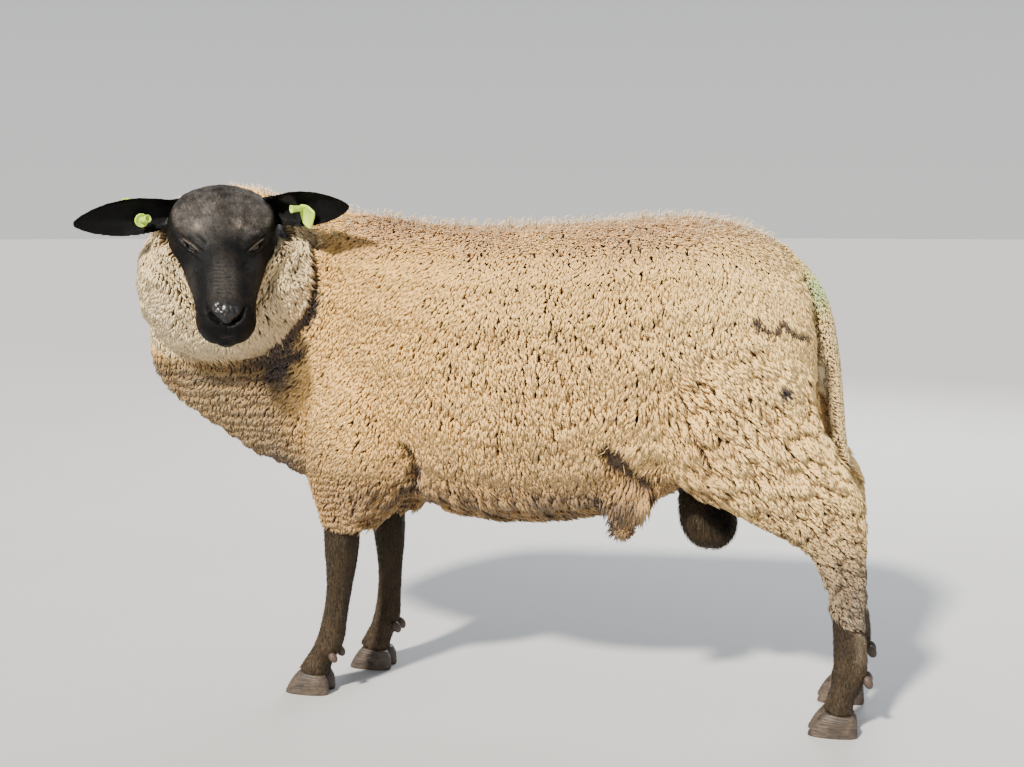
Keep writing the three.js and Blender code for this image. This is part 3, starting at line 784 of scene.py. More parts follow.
def wool_tone(points):
    """Colour of the fleece by place: cream, warmer on the shoulder, paler behind and dusty on top. Painted
    shade darkens the creases, which are partly soiled, the folds and the pits, beside the tail and along the
    belly's hem, and darker marks lie under the chest, across the buttock, at a speck and at the tail's end."""
    x, y, z = points.T
    cloud = drift(points, 0.09, 3)
    along = (x - TRUNK_LOW[0]) / (TRUNK_HIGH[0] - TRUNK_LOW[0]) + cloud * 0.08
    ruff, tail = ruff_share(points), tail_share(points)
    low_neck = step(0.60, 0.54, z + 0.02 * cloud) * step(-0.30, -0.38, x) * (1 - ruff)
    soft_neck = step(0.64, 0.50, z + 0.05 * cloud) * step(-0.26, -0.44, x + 0.03 * cloud)
    low_neck = blend(low_neck, 0.55 * soft_neck, step(0.0, 0.06, y + 0.04 * cloud))
    second_fold = hill(ruff_reach(points), 1.26, 0.05) * step(-0.33, -0.38, x) * step(0.62, 0.58, z)
    brisket = hill(np.linalg.norm((points - np.array(BRISKET)) / BRISKET_HALF, axis=1), 0, 1)
    hem = step(0.388, 0.355, z + 0.008 * cloud) * step(0.30, 0.24, x) * step(-0.22, -0.16, x)
    broken = 0.003 * drift(points, 0.006, 5)
    speck = np.linalg.norm(points - np.array(SPECK), axis=1)
    shin = step(0.42, 0.22, z + 0.02 * cloud) * step(0.40, 0.46, x)
    behind = step(TAIL_LOW[0] + 0.02, TAIL_LOW[0] + 0.06, x) * step(0.085, 0.03, np.abs(y - SPINE_Y))
    return layered(np.tile(CREAM, (len(points), 1)), (
        (WARM, step(0.45, 0.1, along) * 0.9),
        (PALE, step(0.55, 0.8, along) * 0.8),
        (UNDERSIDE, step(0.50, 0.34, z + cloud * 0.03) * step(0.42, 0.32, x) * 0.9),
        (DUSTY, step(0.72, 0.80, z + cloud * 0.02) * step(-0.30, -0.2, x) * 0.9),
        (RUFF_GREY, ruff),
        # soiled wool low on the neck and chest, partly painted shade below the ruff
        (CHEST, low_neck * 0.9),
        # painted shade and some soiling in the furrow round the ruff and in the ear's shadow behind it
        (SOIL_AND_SHADE * 0.7, crease_share(points) * 1.1),
        # painted shade in the second fold of wool below the ruff
        (SOIL_AND_SHADE, second_fold * 0.6),
        (SOIL_AND_SHADE, brisket * 0.8),
        # painted shade in the pits and in the gaps beside the tail
        (SOIL_AND_SHADE, pit_share(points) * 0.95),
        # painted shade in broken patches along the lower edge of the belly
        (SOIL_AND_SHADE, hem * np.clip(0.50 + 0.6 * drift(points, 0.02, 76), 0, 0.85)),
        (SOIL_AND_SHADE, step(0.0068, 0.0034, line_distance(points, SEAM) + broken)),
        (SOIL_AND_SHADE * 0.3, step(0.0115, 0.0080, speck + broken)),
        (RUFF_GREY, tail * step(0.66, 0.62, z) * 0.6),
        (GREEN_STAIN, tail * hill(z, 0.69, 0.035) * 0.8),
        (SOIL_AND_SHADE, tail * step(0.43, 0.405, z) * 0.8),
        (LEG_GREY * 1.8, shin * 0.9),
        # painted shade beside the root of the tail, on both sides
        (SOIL_AND_SHADE, behind * (1 - tail) * step(0.54, 0.58, z) * step(0.68, 0.64, z) * 0.7),
    ))


def inner_ear_share(points):
    """1 on the hollow side of an ear, which faces forward and down: in front of the plane of its middle."""
    share = np.zeros(len(points))
    for ear in EARS:
        centre = EAR_POINTS[ear].mean(axis=0)
        _, _, axes = np.linalg.svd(EAR_POINTS[ear] - centre, full_matrices=False)
        front = axes[2] * np.sign(axes[2] @ (FACING - UP * 0.3))
        near = within(points, ear, 0.001, 0.008)
        share = np.maximum(share, near * step(-0.004, 0.004, (points - centre) @ front))
    return share


def black_tone(points):
    """Colour of the short hair by place: black-brown, greyer on the forehead and browner down the legs, with
    painted shade round the eyes, on the temples, in the nostrils, along the mouth, in the ears' hollows and
    on the scrotum under the belly, a painted highlight on each upper lid, and paler brows and bridge that are
    partly painted highlights.
    """
    local = to_head(points)
    x, y, z = local.T
    head = head_share(points)
    cloud = drift(points, 0.05, 8)
    brow = step(0.112, 0.062, z + 0.012 * cloud) * step(-0.036, -0.014, y) * head
    tone = np.tile(BLACK, (len(points), 1))
    tone = painted(tone, FOREHEAD, brow * (0.85 - 0.35 * hill(x, 0.0, 0.012)))
    mottle = 0.55 * drift(points, 0.0065, 74) + 0.35 * drift(points, 0.016, 75)
    tone = tone * (1 + mottle * brow)[:, None]
    ragged = 0.005 * drift(points, 0.006, 65)
    spots = hill(np.hypot(np.abs(x + 0.007) - 0.032, z - 0.069) + ragged, 0, 0.006) * brow
    bridge = step(0.110, 0.165, z) * step(0.030, 0.004, np.abs(x)) * step(-0.02, -0.008, y)
    bridge = bridge * step(0.215, 0.185, z) * head
    cheek = step(0.10, 0.13, z) * step(0.20, 0.17, z) * step(-0.012, -0.03, y) * head
    temple = step(0.046, 0.058, np.abs(x)) * step(-0.002, -0.012, y) * step(0.132, 0.11, z) * head
    layers = [
        # pale hair on the brow bosses, partly a painted highlight
        (PALE_HAIR, spots * 0.6),
        # greyer hair on the bridge of the nose, partly a painted highlight
        (FOREHEAD, bridge * 0.45),
        (FOREHEAD, cheek * 0.22),
        # painted shade on the temples, which face away from the light
        (DARKEST, temple * 0.95),
    ]
    for side in (1, -1):
        along, rise, out, _ = eye_zone(points, side)
        near = step(0.024, 0.014, np.abs(out)) * head
        slim = lid_reach(along, rise)
        below = hill(slim, 2.2, 0.5) * step(0, -0.002, rise)
        hollow = hill(rise, 0.0125, 0.004) * hill(along, 0.004, 0.015) + below
        hollow = np.maximum(hollow, hill(slim, 1.5, 1.2) * 0.8 * step(0.03, 0.02, np.abs(along)))
        rim = hill(slim, 1.35, 0.2) * step(0.0005, 0.002, rise) * step(0.021, 0.012, np.abs(along))
        layers += [
            # painted shade in the hollows above, below and round the lids
            (DARKEST, hollow * near),
            # a painted highlight along the rim of the upper lid
            (PALE_HAIR, rim * near * 0.55),
            # painted shade in the slit between the lids
            (DARKEST, hill(slim, 0.6, 0.6) * near * 0.8),
        ]
    level = points[:, 2]
    shank = step(0.33, 0.27, level) * (1 - head)
    cannon = step(0.19, 0.17, level) * step(0.10, 0.14, level) * step(0.572, 0.59, points[:, 0])
    low, high = corners("scrotum")
    ball = (points - (low + high) / 2) / (high - low)
    scrotum = scrotum_share(points)
    layers += [
        # painted shade in the grooves of the nostrils
        (DARKEST, nostril_depth(local) * head),
        (DARKEST, step(0.200, 0.214, z) * step(-0.024, -0.034, y) * head * 0.8),
        # painted shade along the line of the mouth
        (DARKEST, hill(mouth_line(local), 0, 0.003) * step(0.18, 0.19, z) * head),
        # painted shade in the hollows of the ears
        (INNER_EAR, ear_share(points) * inner_ear_share(points)),
        (LEG_BROWN, shank * (0.75 + 0.25 * cloud)),
        (LEG_GREY, cannon * 0.7),
        # the scrotum darkest at its back and top, painted shade under the belly; browner at its front and
        # bottom
        (DARKEST, scrotum * 0.7),
        (LEG_BROWN, step(-0.15, 0.3, -ball[:, 0] - ball[:, 2]) * scrotum * 0.9),
    ]
    return layered(tone, layers)


def coat_tone(points):
    return painted(wool_tone(points), black_tone(points), black_share(points))


def write_attribute(mesh, name, values):
    """Puts one number or one colour on every point of a mesh; colours get a full alpha."""
    if values.ndim == 2:
        layer = mesh.attributes.new(name, "FLOAT_COLOR", "POINT")
        values = np.concatenate([values, np.ones((len(values), 1))], axis=1)
        layer.data.foreach_set("color", values.astype(np.float32).ravel())
    else:
        layer = mesh.attributes.new(name, "FLOAT", "POINT")
        layer.data.foreach_set("value", values.astype(np.float32))


def bare_share(points):
    """1 where the skin shows: the pad of the nose and the rims of the lids."""
    local = to_head(points)
    beside = np.abs(local[:, 0])
    nose = step(0.0, 0.003, local[:, 1] - np.interp(beside, *NOSTRIL_LINE) - 0.001)
    nose = nose * step(0.203, 0.211, local[:, 2]) * step(0.022, 0.016, beside) * (1 - nostril_depth(local))
    lids = np.zeros(len(points))
    for side in (1, -1):
        along, rise, out, _ = eye_zone(points, side)
        lids = np.maximum(lids, step(1.25, 1.05, lid_reach(along, rise)) * step(0.02, 0.01, np.abs(out)))
    return np.maximum(nose, LID_GLOSS * lids)


def solid_piece(mesh, name, material):
    """An object on the root body that wears one material and takes its finish from a slot."""
    mesh.name = name
    mesh.materials.clear()
    mesh.materials.append(material)
    mesh.polygons.foreach_set("use_smooth", np.ones(len(mesh.polygons), bool))
    piece = new_object(name, mesh)
    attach(piece, "root")
    return piece


def crown_edge_share(points):
    """1 on the rear edge of the crown and at the ears' roots, where short hair runs in under the wool."""
    local = to_head(points)
    beside = step(0.050, 0.062, np.abs(local[:, 0]))
    reach = skull_reach(points) - 0.20 * beside
    near = step(1.42, 1.32, reach) * step(-0.070, -0.055, local[:, 1] + 0.022 * beside)
    return near * step(0.070, 0.055, local[:, 2]) * (1 - head_share(points))


def make_skin(material):
    """One skin for all the flesh, in finer faces on the legs, the head and the ears."""
    mesh = united(body_skin(BODY_GRAIN), leg_skin(), head_skin(), ear_skin())
    points = points_of(mesh)
    black = black_share(points)
    tone = painted(coat_tone(points), BLACK, crown_edge_share(points))
    write_attribute(mesh, "tone", tone * blend(UNDER_WOOL, 1, black)[:, None])
    write_attribute(mesh, "bare", bare_share(points))
    write_attribute(mesh, "flecked", black)
    skin = solid_piece(mesh, "skin", material)
    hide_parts(*FLESH)
    return skin


# ---------------------------------------------------------------- locks
WOOL_RINGS = ((0.0, 0.8), (0.62, 1.15))  # share of the length and of the width
HAIR_RINGS = ((0.0, 1.0),)
LOCK_SIDES = 3
BEND = 0.4  # share of a lock's length that stands before its end bends over


def locks(coat, rings):
    """Closed, pointed locks, as a function of two parameters: v from root to tip, and u round the lock.

    With w the share of the way past BEND, from 0 to 1, the middle line rises along the skin's normal by rise
    times 1 - (1 - v)^2.2, less droop times w^2, and leans along the lie by lean times 0.12 v + 0.88 w^1.3. It
    is drawn to the middle of its group by v^1.5, and its end swings sideways by curl times the change of a
    sine of w. The ring at v is a triangle, wide across the lie and thin away from the skin, and the tip is a
    point. Returns points, faces and, for every point, its v, its u and its lock.
    """
    count = len(coat["root"])
    shares = np.array([v for v, _ in rings] + [1.0])
    v = shares[None, :, None]
    w = np.clip((v - BEND) / (1 - BEND), 0, 1)
    root, normal, lie = (coat[key][:, None, :] for key in ("root", "normal", "lie"))
    side = np.cross(coat["normal"], coat["lie"])[:, None, :]
    rise, lean, curl, turns, phase, thick, droop = (
        coat[key][:, None, None] for key in ("rise", "lean", "curl", "turns", "phase", "width", "droop")
    )
    line = root + normal * (rise * (1 - (1 - v) ** 2.2) - droop * w ** 2)
    line = line + lie * lean * (0.12 * v + 0.88 * w ** 1.3)
    line = line + coat["gather"][:, None, :] * v ** 1.5
    line = line + side * curl * (np.sin(turns * w * math.pi + phase) - np.sin(phase))
    ahead = unit(np.gradient(line, axis=1))
    across = unit(np.cross(normal, ahead))
    out = np.cross(ahead, across)
    widths = np.array([width for _, width in rings])[None, :, None] * thick
    ring_points = []
    for corner in range(LOCK_SIDES):
        angle = math.pi / 2 + 2 * math.pi * corner / LOCK_SIDES
        spread = across[:, :-1] * math.cos(angle) + out[:, :-1] * math.sin(angle) * coat["flat"]
        ring_points.append(line[:, :-1] + spread * widths)
    body = np.stack(ring_points, axis=2).reshape(count, -1, 3)
    points = np.concatenate([body, line[:, -1:]], axis=1)
    each = points.shape[1]
    pattern = lock_faces(len(rings), each - 1)
    faces = (pattern[None] + (np.arange(count) * each)[:, None, None]).reshape(-1, 3)
    along = np.tile(np.append(np.repeat(shares[:-1], LOCK_SIDES), 1.0), count)
    around = np.tile(np.append(np.tile(np.arange(LOCK_SIDES) / LOCK_SIDES, len(rings)), 0.5), count)
    return points.reshape(-1, 3), faces, along, around, np.repeat(np.arange(count), each)


def lock_faces(ring_count, tip):
    """Triangles of one lock: two for each side of each stretch, three to the tip and one under the root."""
    faces = [(0, 2, 1)]
    for ring in range(ring_count):
        for corner in range(LOCK_SIDES):
            here = ring * LOCK_SIDES + corner
            beside = ring * LOCK_SIDES + (corner + 1) % LOCK_SIDES
            if ring == ring_count - 1:
                faces.append((here, beside, tip))
            else:
                faces.append((here, beside, beside + LOCK_SIDES))
                faces.append((here, beside + LOCK_SIDES, here + LOCK_SIDES))
    return np.array(faces)


def triangle_mesh(name, points, faces):
    mesh = bpy.data.meshes.new(name)
    mesh.vertices.add(len(points))
    mesh.vertices.foreach_set("co", points.astype(np.float32).ravel())
    mesh.loops.add(faces.size)
    mesh.loops.foreach_set("vertex_index", faces.astype(np.int32).ravel())
    mesh.polygons.add(len(faces))
    mesh.polygons.foreach_set("loop_start", np.arange(0, faces.size, 3, dtype=np.int32))
    mesh.update(calc_edges=True)
    return mesh


BAKE_PATCH = 0.003  # size of each lock's patch on the map


def unwrap(root):
    """The roots' places on an unrolled skin: round the body's, a leg's, the tail's or the head's own axis."""
    x, y, z = root.T
    flat = np.stack([x, np.arctan2(y - SPINE_Y, z - 0.57) * 0.2], axis=1)
    for leg in LEGS:
        centre = middle(f"lower_{leg}")
        inside = np.maximum(within(root, f"upper_{leg}", 0.01), within(root, f"lower_{leg}", 0.01))
        own = (inside > 0.5) & (z < 0.4)
        turn = np.arctan2(y - centre[1], x - centre[0]) * 0.05
        flat[own] = np.stack([centre[0] + turn, z - 0.9 + 0.02 * np.sign(centre[1])], axis=1)[own]
    local = to_head(root)
    own = (head_share(root) > 0.5) & (local[:, 2] > -0.05)
    around = np.arctan2(local[:, 0], local[:, 1] + 0.05) * 0.07
    flat[own] = np.stack([-0.8 + around, local[:, 2]], axis=1)[own]
    low, high = flat.min(axis=0), flat.max(axis=0)
    return 0.02 + 0.96 * (flat - low) / (high - low).max()


def lock_piece(name, coat, rings, material):
    """One piece of the coat, with its colour, its place along the lock, its luck and its map."""
    points, faces, along, around, owner = locks(coat, rings)
    mesh = triangle_mesh(name, points, faces)
    luck = coat["luck"][owner]
    write_attribute(mesh, "tone", coat["tone"][owner])
    write_attribute(mesh, "along", along)
    write_attribute(mesh, "luck", luck)
    patch = unwrap(coat["root"])[owner] + BAKE_PATCH * (np.stack([around, along], axis=1) - 0.5)
    strand = np.stack([around + luck * 7, along], axis=1)
    for layer, places in (("OFBake", patch), ("strand", strand)):
        chart = mesh.uv_layers.new(name=layer)
        chart.data.foreach_set("uv", places[faces.ravel()].astype(np.float32).ravel())
    return solid_piece(mesh, name, material)


def pick(coat, chosen):
    return {key: (value[chosen] if isinstance(value, np.ndarray) else value) for key, value in coat.items()}


# ---------------------------------------------------------------- the lie of the fleece
def slant(points):
    """How far the wool leans along X for each metre it hangs: forwards on the shoulder, back on the thigh."""
    x, _, z = points.T
    slope = -0.60 * step(0.05, -0.22, x) + 0.85 * step(0.26, 0.33, x) * step(0.66, 0.56, z)
    return slope - 0.40 * hill(x, 0.225, 0.05) * step(0.60, 0.45, z)


def fleece_lie(points, normals):
    """The way the wool hangs: down and along its slant, backwards on top, and on the ruff down and outwards,
    but forwards over the edge of the cheek."""
    x, _, z = points.T
    way = np.zeros((len(points), 3))
    way[:, 2] = -1.0
    top = step(0.70, 0.78, z) * step(-0.33, -0.2, x)
    way[:, 0] = slant(points) + 0.5 * top
    gap = points - RUFF_MIDDLE
    outward = unit(gap - FACING * dot(gap, FACING)[:, None])
    apart = step(1.15, 1.6, skull_reach(points))[:, None]
    way = blend(way, outward * (0.9 * apart - 0.35) - UP * 0.8, ruff_share(points)[:, None])
    way[:, 0] += 0.5 * step(-0.6, -0.9, normals[:, 2])
    way = unit(way - normals * dot(way, normals)[:, None])
    side = np.cross(normals, way)
    swirl = 0.30 * drift(points, 0.045, 11) + 0.8 * top * drift(points, 0.010, 13)
    return unit(way + side * swirl[:, None])


# Staples of wool: their width, their length in widths and the seed of their places.
STAPLES = {
    "grain": (0.0070, 1.2, 21),
    "strand": (0.0075, 2.8, 25),
    "lock": (0.0105, 4.0, 22),
    "pad": (0.0150, 2.7, 23),
}
ROOT_JITTER = 0.002  # how far a lock may stand from its place in the even net
CHEST_FOLD = 0.0165  # height of one fold of the wool across the chest
FOREARM_FOLD = 0.0118
LOCK_LEAN = 0.0150
LOCK_WIDTH = 0.0024


def staples(points, kinds):
    """Sorts the roots into staples. Their lattice is sheared along X by the slant, to lie along the wool.

    Returns the way to the staple's middle, its random number, how deep the root lies in it and its width.
    """
    shear = slant(points)
    level = points[:, 2] - 0.5
    combed = points + np.stack([shear * level, np.zeros(len(points)), np.zeros(len(points))], axis=1)
    way = np.zeros((len(points), 3))
    luck, deep, width = (np.zeros(len(points)) for _ in range(3))
    for name, (size, length, seed) in STAPLES.items():
        own = kinds == name
        gap, chosen, inside = lockwork(combed[own], size, (1, 1, length), seed)
        gap[:, 0] -= shear[own] * gap[:, 2]
        way[own], luck[own], deep[own], width[own] = gap, chosen, inside, size
    return way, luck, deep, width


def fleece_coat():
    """Roots, lie and sizes of every lock of wool, from an even net of faces over the skin."""
    net = body_skin(ROOT_SPACING)
    root, normal = faces_of(net)
    bpy.data.meshes.remove(net)
    keep = black_share(root) < chance.uniform(0.35, 0.85, len(root))
    local = to_head(root)
    beside_crown = (skull_reach(root) < 1.4) & (np.abs(local[:, 2] - 0.042) < 0.034) & (local[:, 1] > -0.035)
    keep &= ~beside_crown | (np.abs(local[:, 0]) < 0.035)
    root, normal = root[keep], normal[keep]
    count = len(root)
    lie = fleece_lie(root, normal)
    side = np.cross(normal, lie)
    for axis in (lie, side):
        root = root + axis * chance.uniform(-ROOT_JITTER, ROOT_JITTER, (count, 1))
    depth = coat_depth(root)
    tall = depth / FLEECE_DEPTH
    tips = root + normal * depth[:, None] + lie * (0.007 * tall)[:, None]
    x, _, z = tips.T
    ruff = ruff_share(tips)
    tail = tail_share(tips)
    forearm = leg_wool_share(root) * step(0, -0.1, x)
    cloud = drift(root, 0.05, 15)
    patch = drift(root, 0.035, 61)
    rear = step(0.17, 0.33, x + 0.03 * cloud) * (1 - tail)
    belly = step(0.395, 0.36, z) * step(0.34, 0.28, x) * step(-0.26, -0.2, x) * step(0.3, -0.2, normal[:, 2])
    flank = step(-0.14, 0.0, x) * step(0.36, 0.26, x) * step(0.70, 0.62, z + 0.03 * cloud)
    sheath = hill(x, 0.235, 0.045) * step(0.345, 0.325, z)
    fold = hill(x, 0.275, 0.06) * step(0.54, 0.46, z)
    top = step(0.70, 0.78, z) * (1 - ruff)
    crease = crease_share(tips)
    chest = step(0.60, 0.54, z) * step(-0.28, -0.36, x) * (1 - ruff)
    nape = nape_share(tips)
    pits = pit_share(tips)
    kinds = np.full(count, "strand", dtype="<U6")
    kinds[(top > 0.5) | (ruff > 0.5) | (tail > 0.5)] = "grain"
    kinds[(flank > 0.5) & (patch > -0.1)] = "lock"
    kinds[fold > 0.5] = "lock"
    kinds[belly > 0.5] = "lock"
    kinds[(rear - top - belly > 0.5) & (fold < 0.6) & (patch > step(0.5, 0.62, z) - 0.9)] = "pad"
    way, own_luck, deep, width = staples(root, kinds)
    big = np.clip((width - 0.0075) / 0.0080, 0, 1)
    turn = (own_luck - 0.5) * (0.40 + 0.35 * top) * (1 - 0.4 * ruff)
    turn = turn + chance.normal(0, 1, count) * (0.20 - 0.12 * big)
    lie = unit(lie * np.cos(turn)[:, None] + side * np.sin(turn)[:, None])
    side = np.cross(normal, lie)
    across, ahead = dot(way, side), dot(way, lie)
    wavy = drift(root, 0.022, 62) + 1.1 * step(0.60, 0.46, z) * step(0.1, 0.3, x)
    lined = step(0.10, 0.45, wavy + 1.1 * step(0.52, 0.42, z) + 0.9 * fold)
    soft = (1 - 0.7 * tail - 0.8 * ruff) * (0.30 + 0.70 * lined)
    gather = side * (across * (0.12 + 0.24 * big) * soft)[:, None]
    gather = gather + lie * (ahead * 0.10 * big * soft)[:, None]
    edge = step(0.24, 0.0, deep) * soft
    height = 1.0 - (0.03 + 0.20 * big) * edge - 0.13 * big * np.clip(ahead / width, -1, 1) * soft
    height = height - 0.04 * own_luck * soft
    _, _, parting = lockwork(root + np.outer(z - 0.5, [0.25, 0, 0]), 0.042, (1, 1, 2.4), 26)
    parting = step(0.060, 0.020, parting) * step(0.0, 0.25, drift(root, 0.035, 63))
    parting = parting * (flank + 0.7 * rear * step(0.70, 0.62, z)).clip(0, 1)
    height = height - 0.24 * parting - 0.55 * pits
    stripe = np.sin((z + 0.010 * drift(root, 0.03, 14)) / CHEST_FOLD * 2 * math.pi)
    ledges = np.sin((z + 0.006 * drift(root, 0.03, 16)) / FOREARM_FOLD * 2 * math.pi)
    folds = drift(root * [1, 1, 1.8], 0.022, 64)
    height = height + 0.16 * chest * (stripe - 1) / 2 + 0.34 * forearm * (ledges - 1) / 2
    height = height + 0.09 * ruff * folds
    height = height - 0.50 * crease + 0.95 * nape
    front = step(0.62, 0.54, z) * step(0.36, 0.42, z) * step(-0.36, -0.42, x) * step(-0.2, -0.6, normal[:, 0])
    height = height + 0.45 * front * (1 - ruff) + 0.35 * tail
    hanging = belly * step(0.35, 0.8, own_luck) * (1 - 0.3 * sheath)
    height = height + 0.30 * hanging - 0.10 * sheath
    height = height * chance.uniform(0.95, 1.0, count)
    lean = LOCK_LEAN + 0.002 * flank + 0.003 * rear - 0.0015 * top + 0.001 * ruff - 0.003 * tail
    lean = lean + 0.004 * belly + 0.003 * fold - 0.004 * forearm + 0.012 * hanging - 0.004 * sheath
    lean = lean * (1 - 0.6 * step(-0.55, -0.95, normal[:, 2]))
    # Painted shade: the wool is darkened in the cracks between staples, in the partings, in the troughs of
    # the folds on the forearm, chest and ruff, and under the belly.
    crack_shade = step(0.13, 0.0, deep) * (0.12 + 0.75 * big) * soft + 0.65 * parting
    crack_shade = crack_shade + 0.5 * forearm * step(-0.2, -0.9, ledges) + 0.35 * chest * step(-0.2, -0.9, stripe)
    crack_shade = crack_shade + 0.20 * ruff * step(-0.35, -0.6, folds) + 0.35 * belly * (1 - hanging) * (1 - sheath)
    tone = wool_tone(tips)
    tone = painted(tone, tone * np.array([0.42, 0.34, 0.25]), crack_shade)
    tone = painted(tone, PALE, 0.6 * nape)
    speckle = 0.22 * drift(root, 0.005, 66) + 0.10 * drift(root, 0.018, 67)
    tone = tone * (1 + speckle * (0.45 + 0.75 * top + 0.2 * ruff))[:, None]
    return {
        "root": root,
        "normal": normal,
        "lie": lie,
        "rise": depth * np.clip(height - 0.35 * pits, 0.42 - 0.25 * pits, 1.75),
        "lean": lean * (0.55 + 0.45 * tall) * chance.uniform(0.85, 1.15, count),
        "droop": 0.0022 * chance.uniform(0.4, 1.2, count) * (1 - 0.8 * top),
        "gather": gather * (1 + 0.5 * hanging + 1.2 * sheath * belly)[:, None],
        "curl": (0.0012 + 0.0005 * ruff + 0.0006 * top) * chance.uniform(0.3, 1.6, count),
        "turns": chance.uniform(0.7, 1.5, count),
        "phase": chance.uniform(0, 2 * math.pi, count),
        "width": LOCK_WIDTH * chance.uniform(0.8, 1.2, count) * (0.75 + 0.25 * tall),
        "flat": 0.5,
        "luck": np.clip(0.65 * chance.uniform(0, 1, count) + 0.35 * own_luck, 0, 1),
        "tone": tone,
    }


def make_fleece(material):
    """The fleece in pieces: ruff, front legs, hind legs with the tail, and each side in four lengths."""
    coat = fleece_coat()
    root = coat["root"]
    x, y = root[:, 0], root[:, 1]
    ruff = ruff_share(root) > 0.5
    limbs = ((tail_share(root) > 0.5) | (leg_wool_share(root) > 0.5)) & ~ruff
    rest = ~ruff & ~limbs
    hind = limbs & (x > 0)
    groups = {
        "fleece_front_legs": limbs & (x <= 0),
        "fleece_rear_left": hind & (y < SPINE_Y),
        "fleece_rear_right": hind & (y >= SPINE_Y),
    }
    head_side = (root - RUFF_MIDDLE) @ HEAD_LEFT > 0
    groups["fleece_ruff_left"] = ruff & head_side
    groups["fleece_ruff_right"] = ruff & ~head_side
    for name, own in (("left", rest & (y < SPINE_Y)), ("right", rest & (y >= SPINE_Y))):
        cuts = np.quantile(x[own], [0, 0.25, 0.5, 0.75, 1.0])
        for index, part in enumerate(("shoulder", "ribs", "flank", "quarter")):
            after = x >= cuts[index] if index else np.ones(len(x), bool)
            before = x < cuts[index + 1] if index < 3 else np.ones(len(x), bool)
            groups[f"fleece_{name}_{part}"] = own & after & before
    for name, own in groups.items():
        lock_piece(name, pick(coat, own), WOOL_RINGS, material)


# ---------------------------------------------------------------- short hair
HAIRS_ON_LEGS = 78000.0  # to the square metre
HAIRS_ON_FACE = 520000.0


def hair_lie(points, normals):
    """The way short hair lies: from the nose back over the face, out along the ears and down the legs."""
    head = head_share(points)
    local = to_head(points)
    back = -NOSEWARD + HEAD_LEFT * (local[:, :1] * 6)
    way = blend(np.tile(-UP, (len(points), 1)), back, head[:, None])
    for ear in EARS:
        own = within(points, ear, 0.004)
        way = blend(way, np.tile(unit(middle(ear) - POLL), (len(points), 1)), own[:, None])
    way = way + 0.25 * np.stack([drift(points, 0.02, seed) for seed in (31, 32, 33)], axis=1)
    return unit(way - normals * dot(way, normals)[:, None])


def hair_coat(root, normal, length, rise, width):
    """Sizes of short hairs at these roots; length, rise and width are numbers or one value for each root."""
    count = len(root)
    lie = hair_lie(root, normal)
    side = np.cross(normal, lie)
    lie = unit(lie + side * chance.normal(0, 0.25, (count, 1)))
    spread = chance.uniform(0.7, 1.25, count)
    return {
        "root": root - normal * 0.0004,
        "normal": normal,
        "lie": lie,
        "rise": rise * spread,
        "lean": length * spread,
        "droop": np.zeros(count),
        "gather": np.zeros((count, 3)),
        "curl": np.zeros(count),
        "turns": np.ones(count),
        "phase": np.zeros(count),
        "width": width * chance.uniform(0.7, 1.2, count),
        "flat": 0.6,
        "luck": chance.uniform(0, 1, count),
        "tone": coat_tone(root),
    }


def make_hair(skin, material):
    """Short black hair where it breaks the form: over face, ears, scrotum and legs, finest on the face."""
    centres, normals = faces_of(skin.data)
    areas = column(skin.data.polygons, "area", 1)[:, 0]
    black = black_share(centres)
    ears = np.maximum(within(centres, "ear_left", 0.003), within(centres, "ear_right", 0.003)) > 0.5
    black = np.maximum(black, ears)
    bare = bare_share(centres)
    head = np.maximum(head_share(centres), ears)
    clear = (skull_reach(centres) > 0.93) | (head < 0.5)
    density = blend(HAIRS_ON_LEGS, HAIRS_ON_FACE, head) * (black > 0.5) * (bare < 0.15) * clear
    density = density * (1 - 0.7 * ears)
    wanted = np.floor(density * areas + chance.uniform(0, 1, len(centres))).astype(int)
    own = np.repeat(np.arange(len(centres)), wanted)
    root, normal = centres[own], normals[own]
    away = chance.uniform(-0.5, 0.5, (len(own), 3)) * np.sqrt(areas[own])[:, None]
    root = root + away - normal * dot(away, normal)[:, None]
    face = head[own]
    coat = hair_coat(
        root, normal,
        length=blend(0.0075, 0.0052, face) + 0.004 * scrotum_share(root) - 0.001 * ears[own],
        rise=blend(0.0020, 0.0009, face) + 0.002 * scrotum_share(root) - 0.0005 * ears[own],
        width=blend(0.00062, 0.00036, face),
    )
    speckle = 1 + 2.0 * face * (1 - ears[own]) * drift(root, 0.0030, 71)
    coat["tone"] = coat["tone"] * np.clip(speckle, 0.2, 2.2)[:, None]
    for name, chosen in (("face_hair", face > 0.5), ("leg_hair", face <= 0.5)):
        lock_piece(name, pick(coat, chosen), HAIR_RINGS, material)


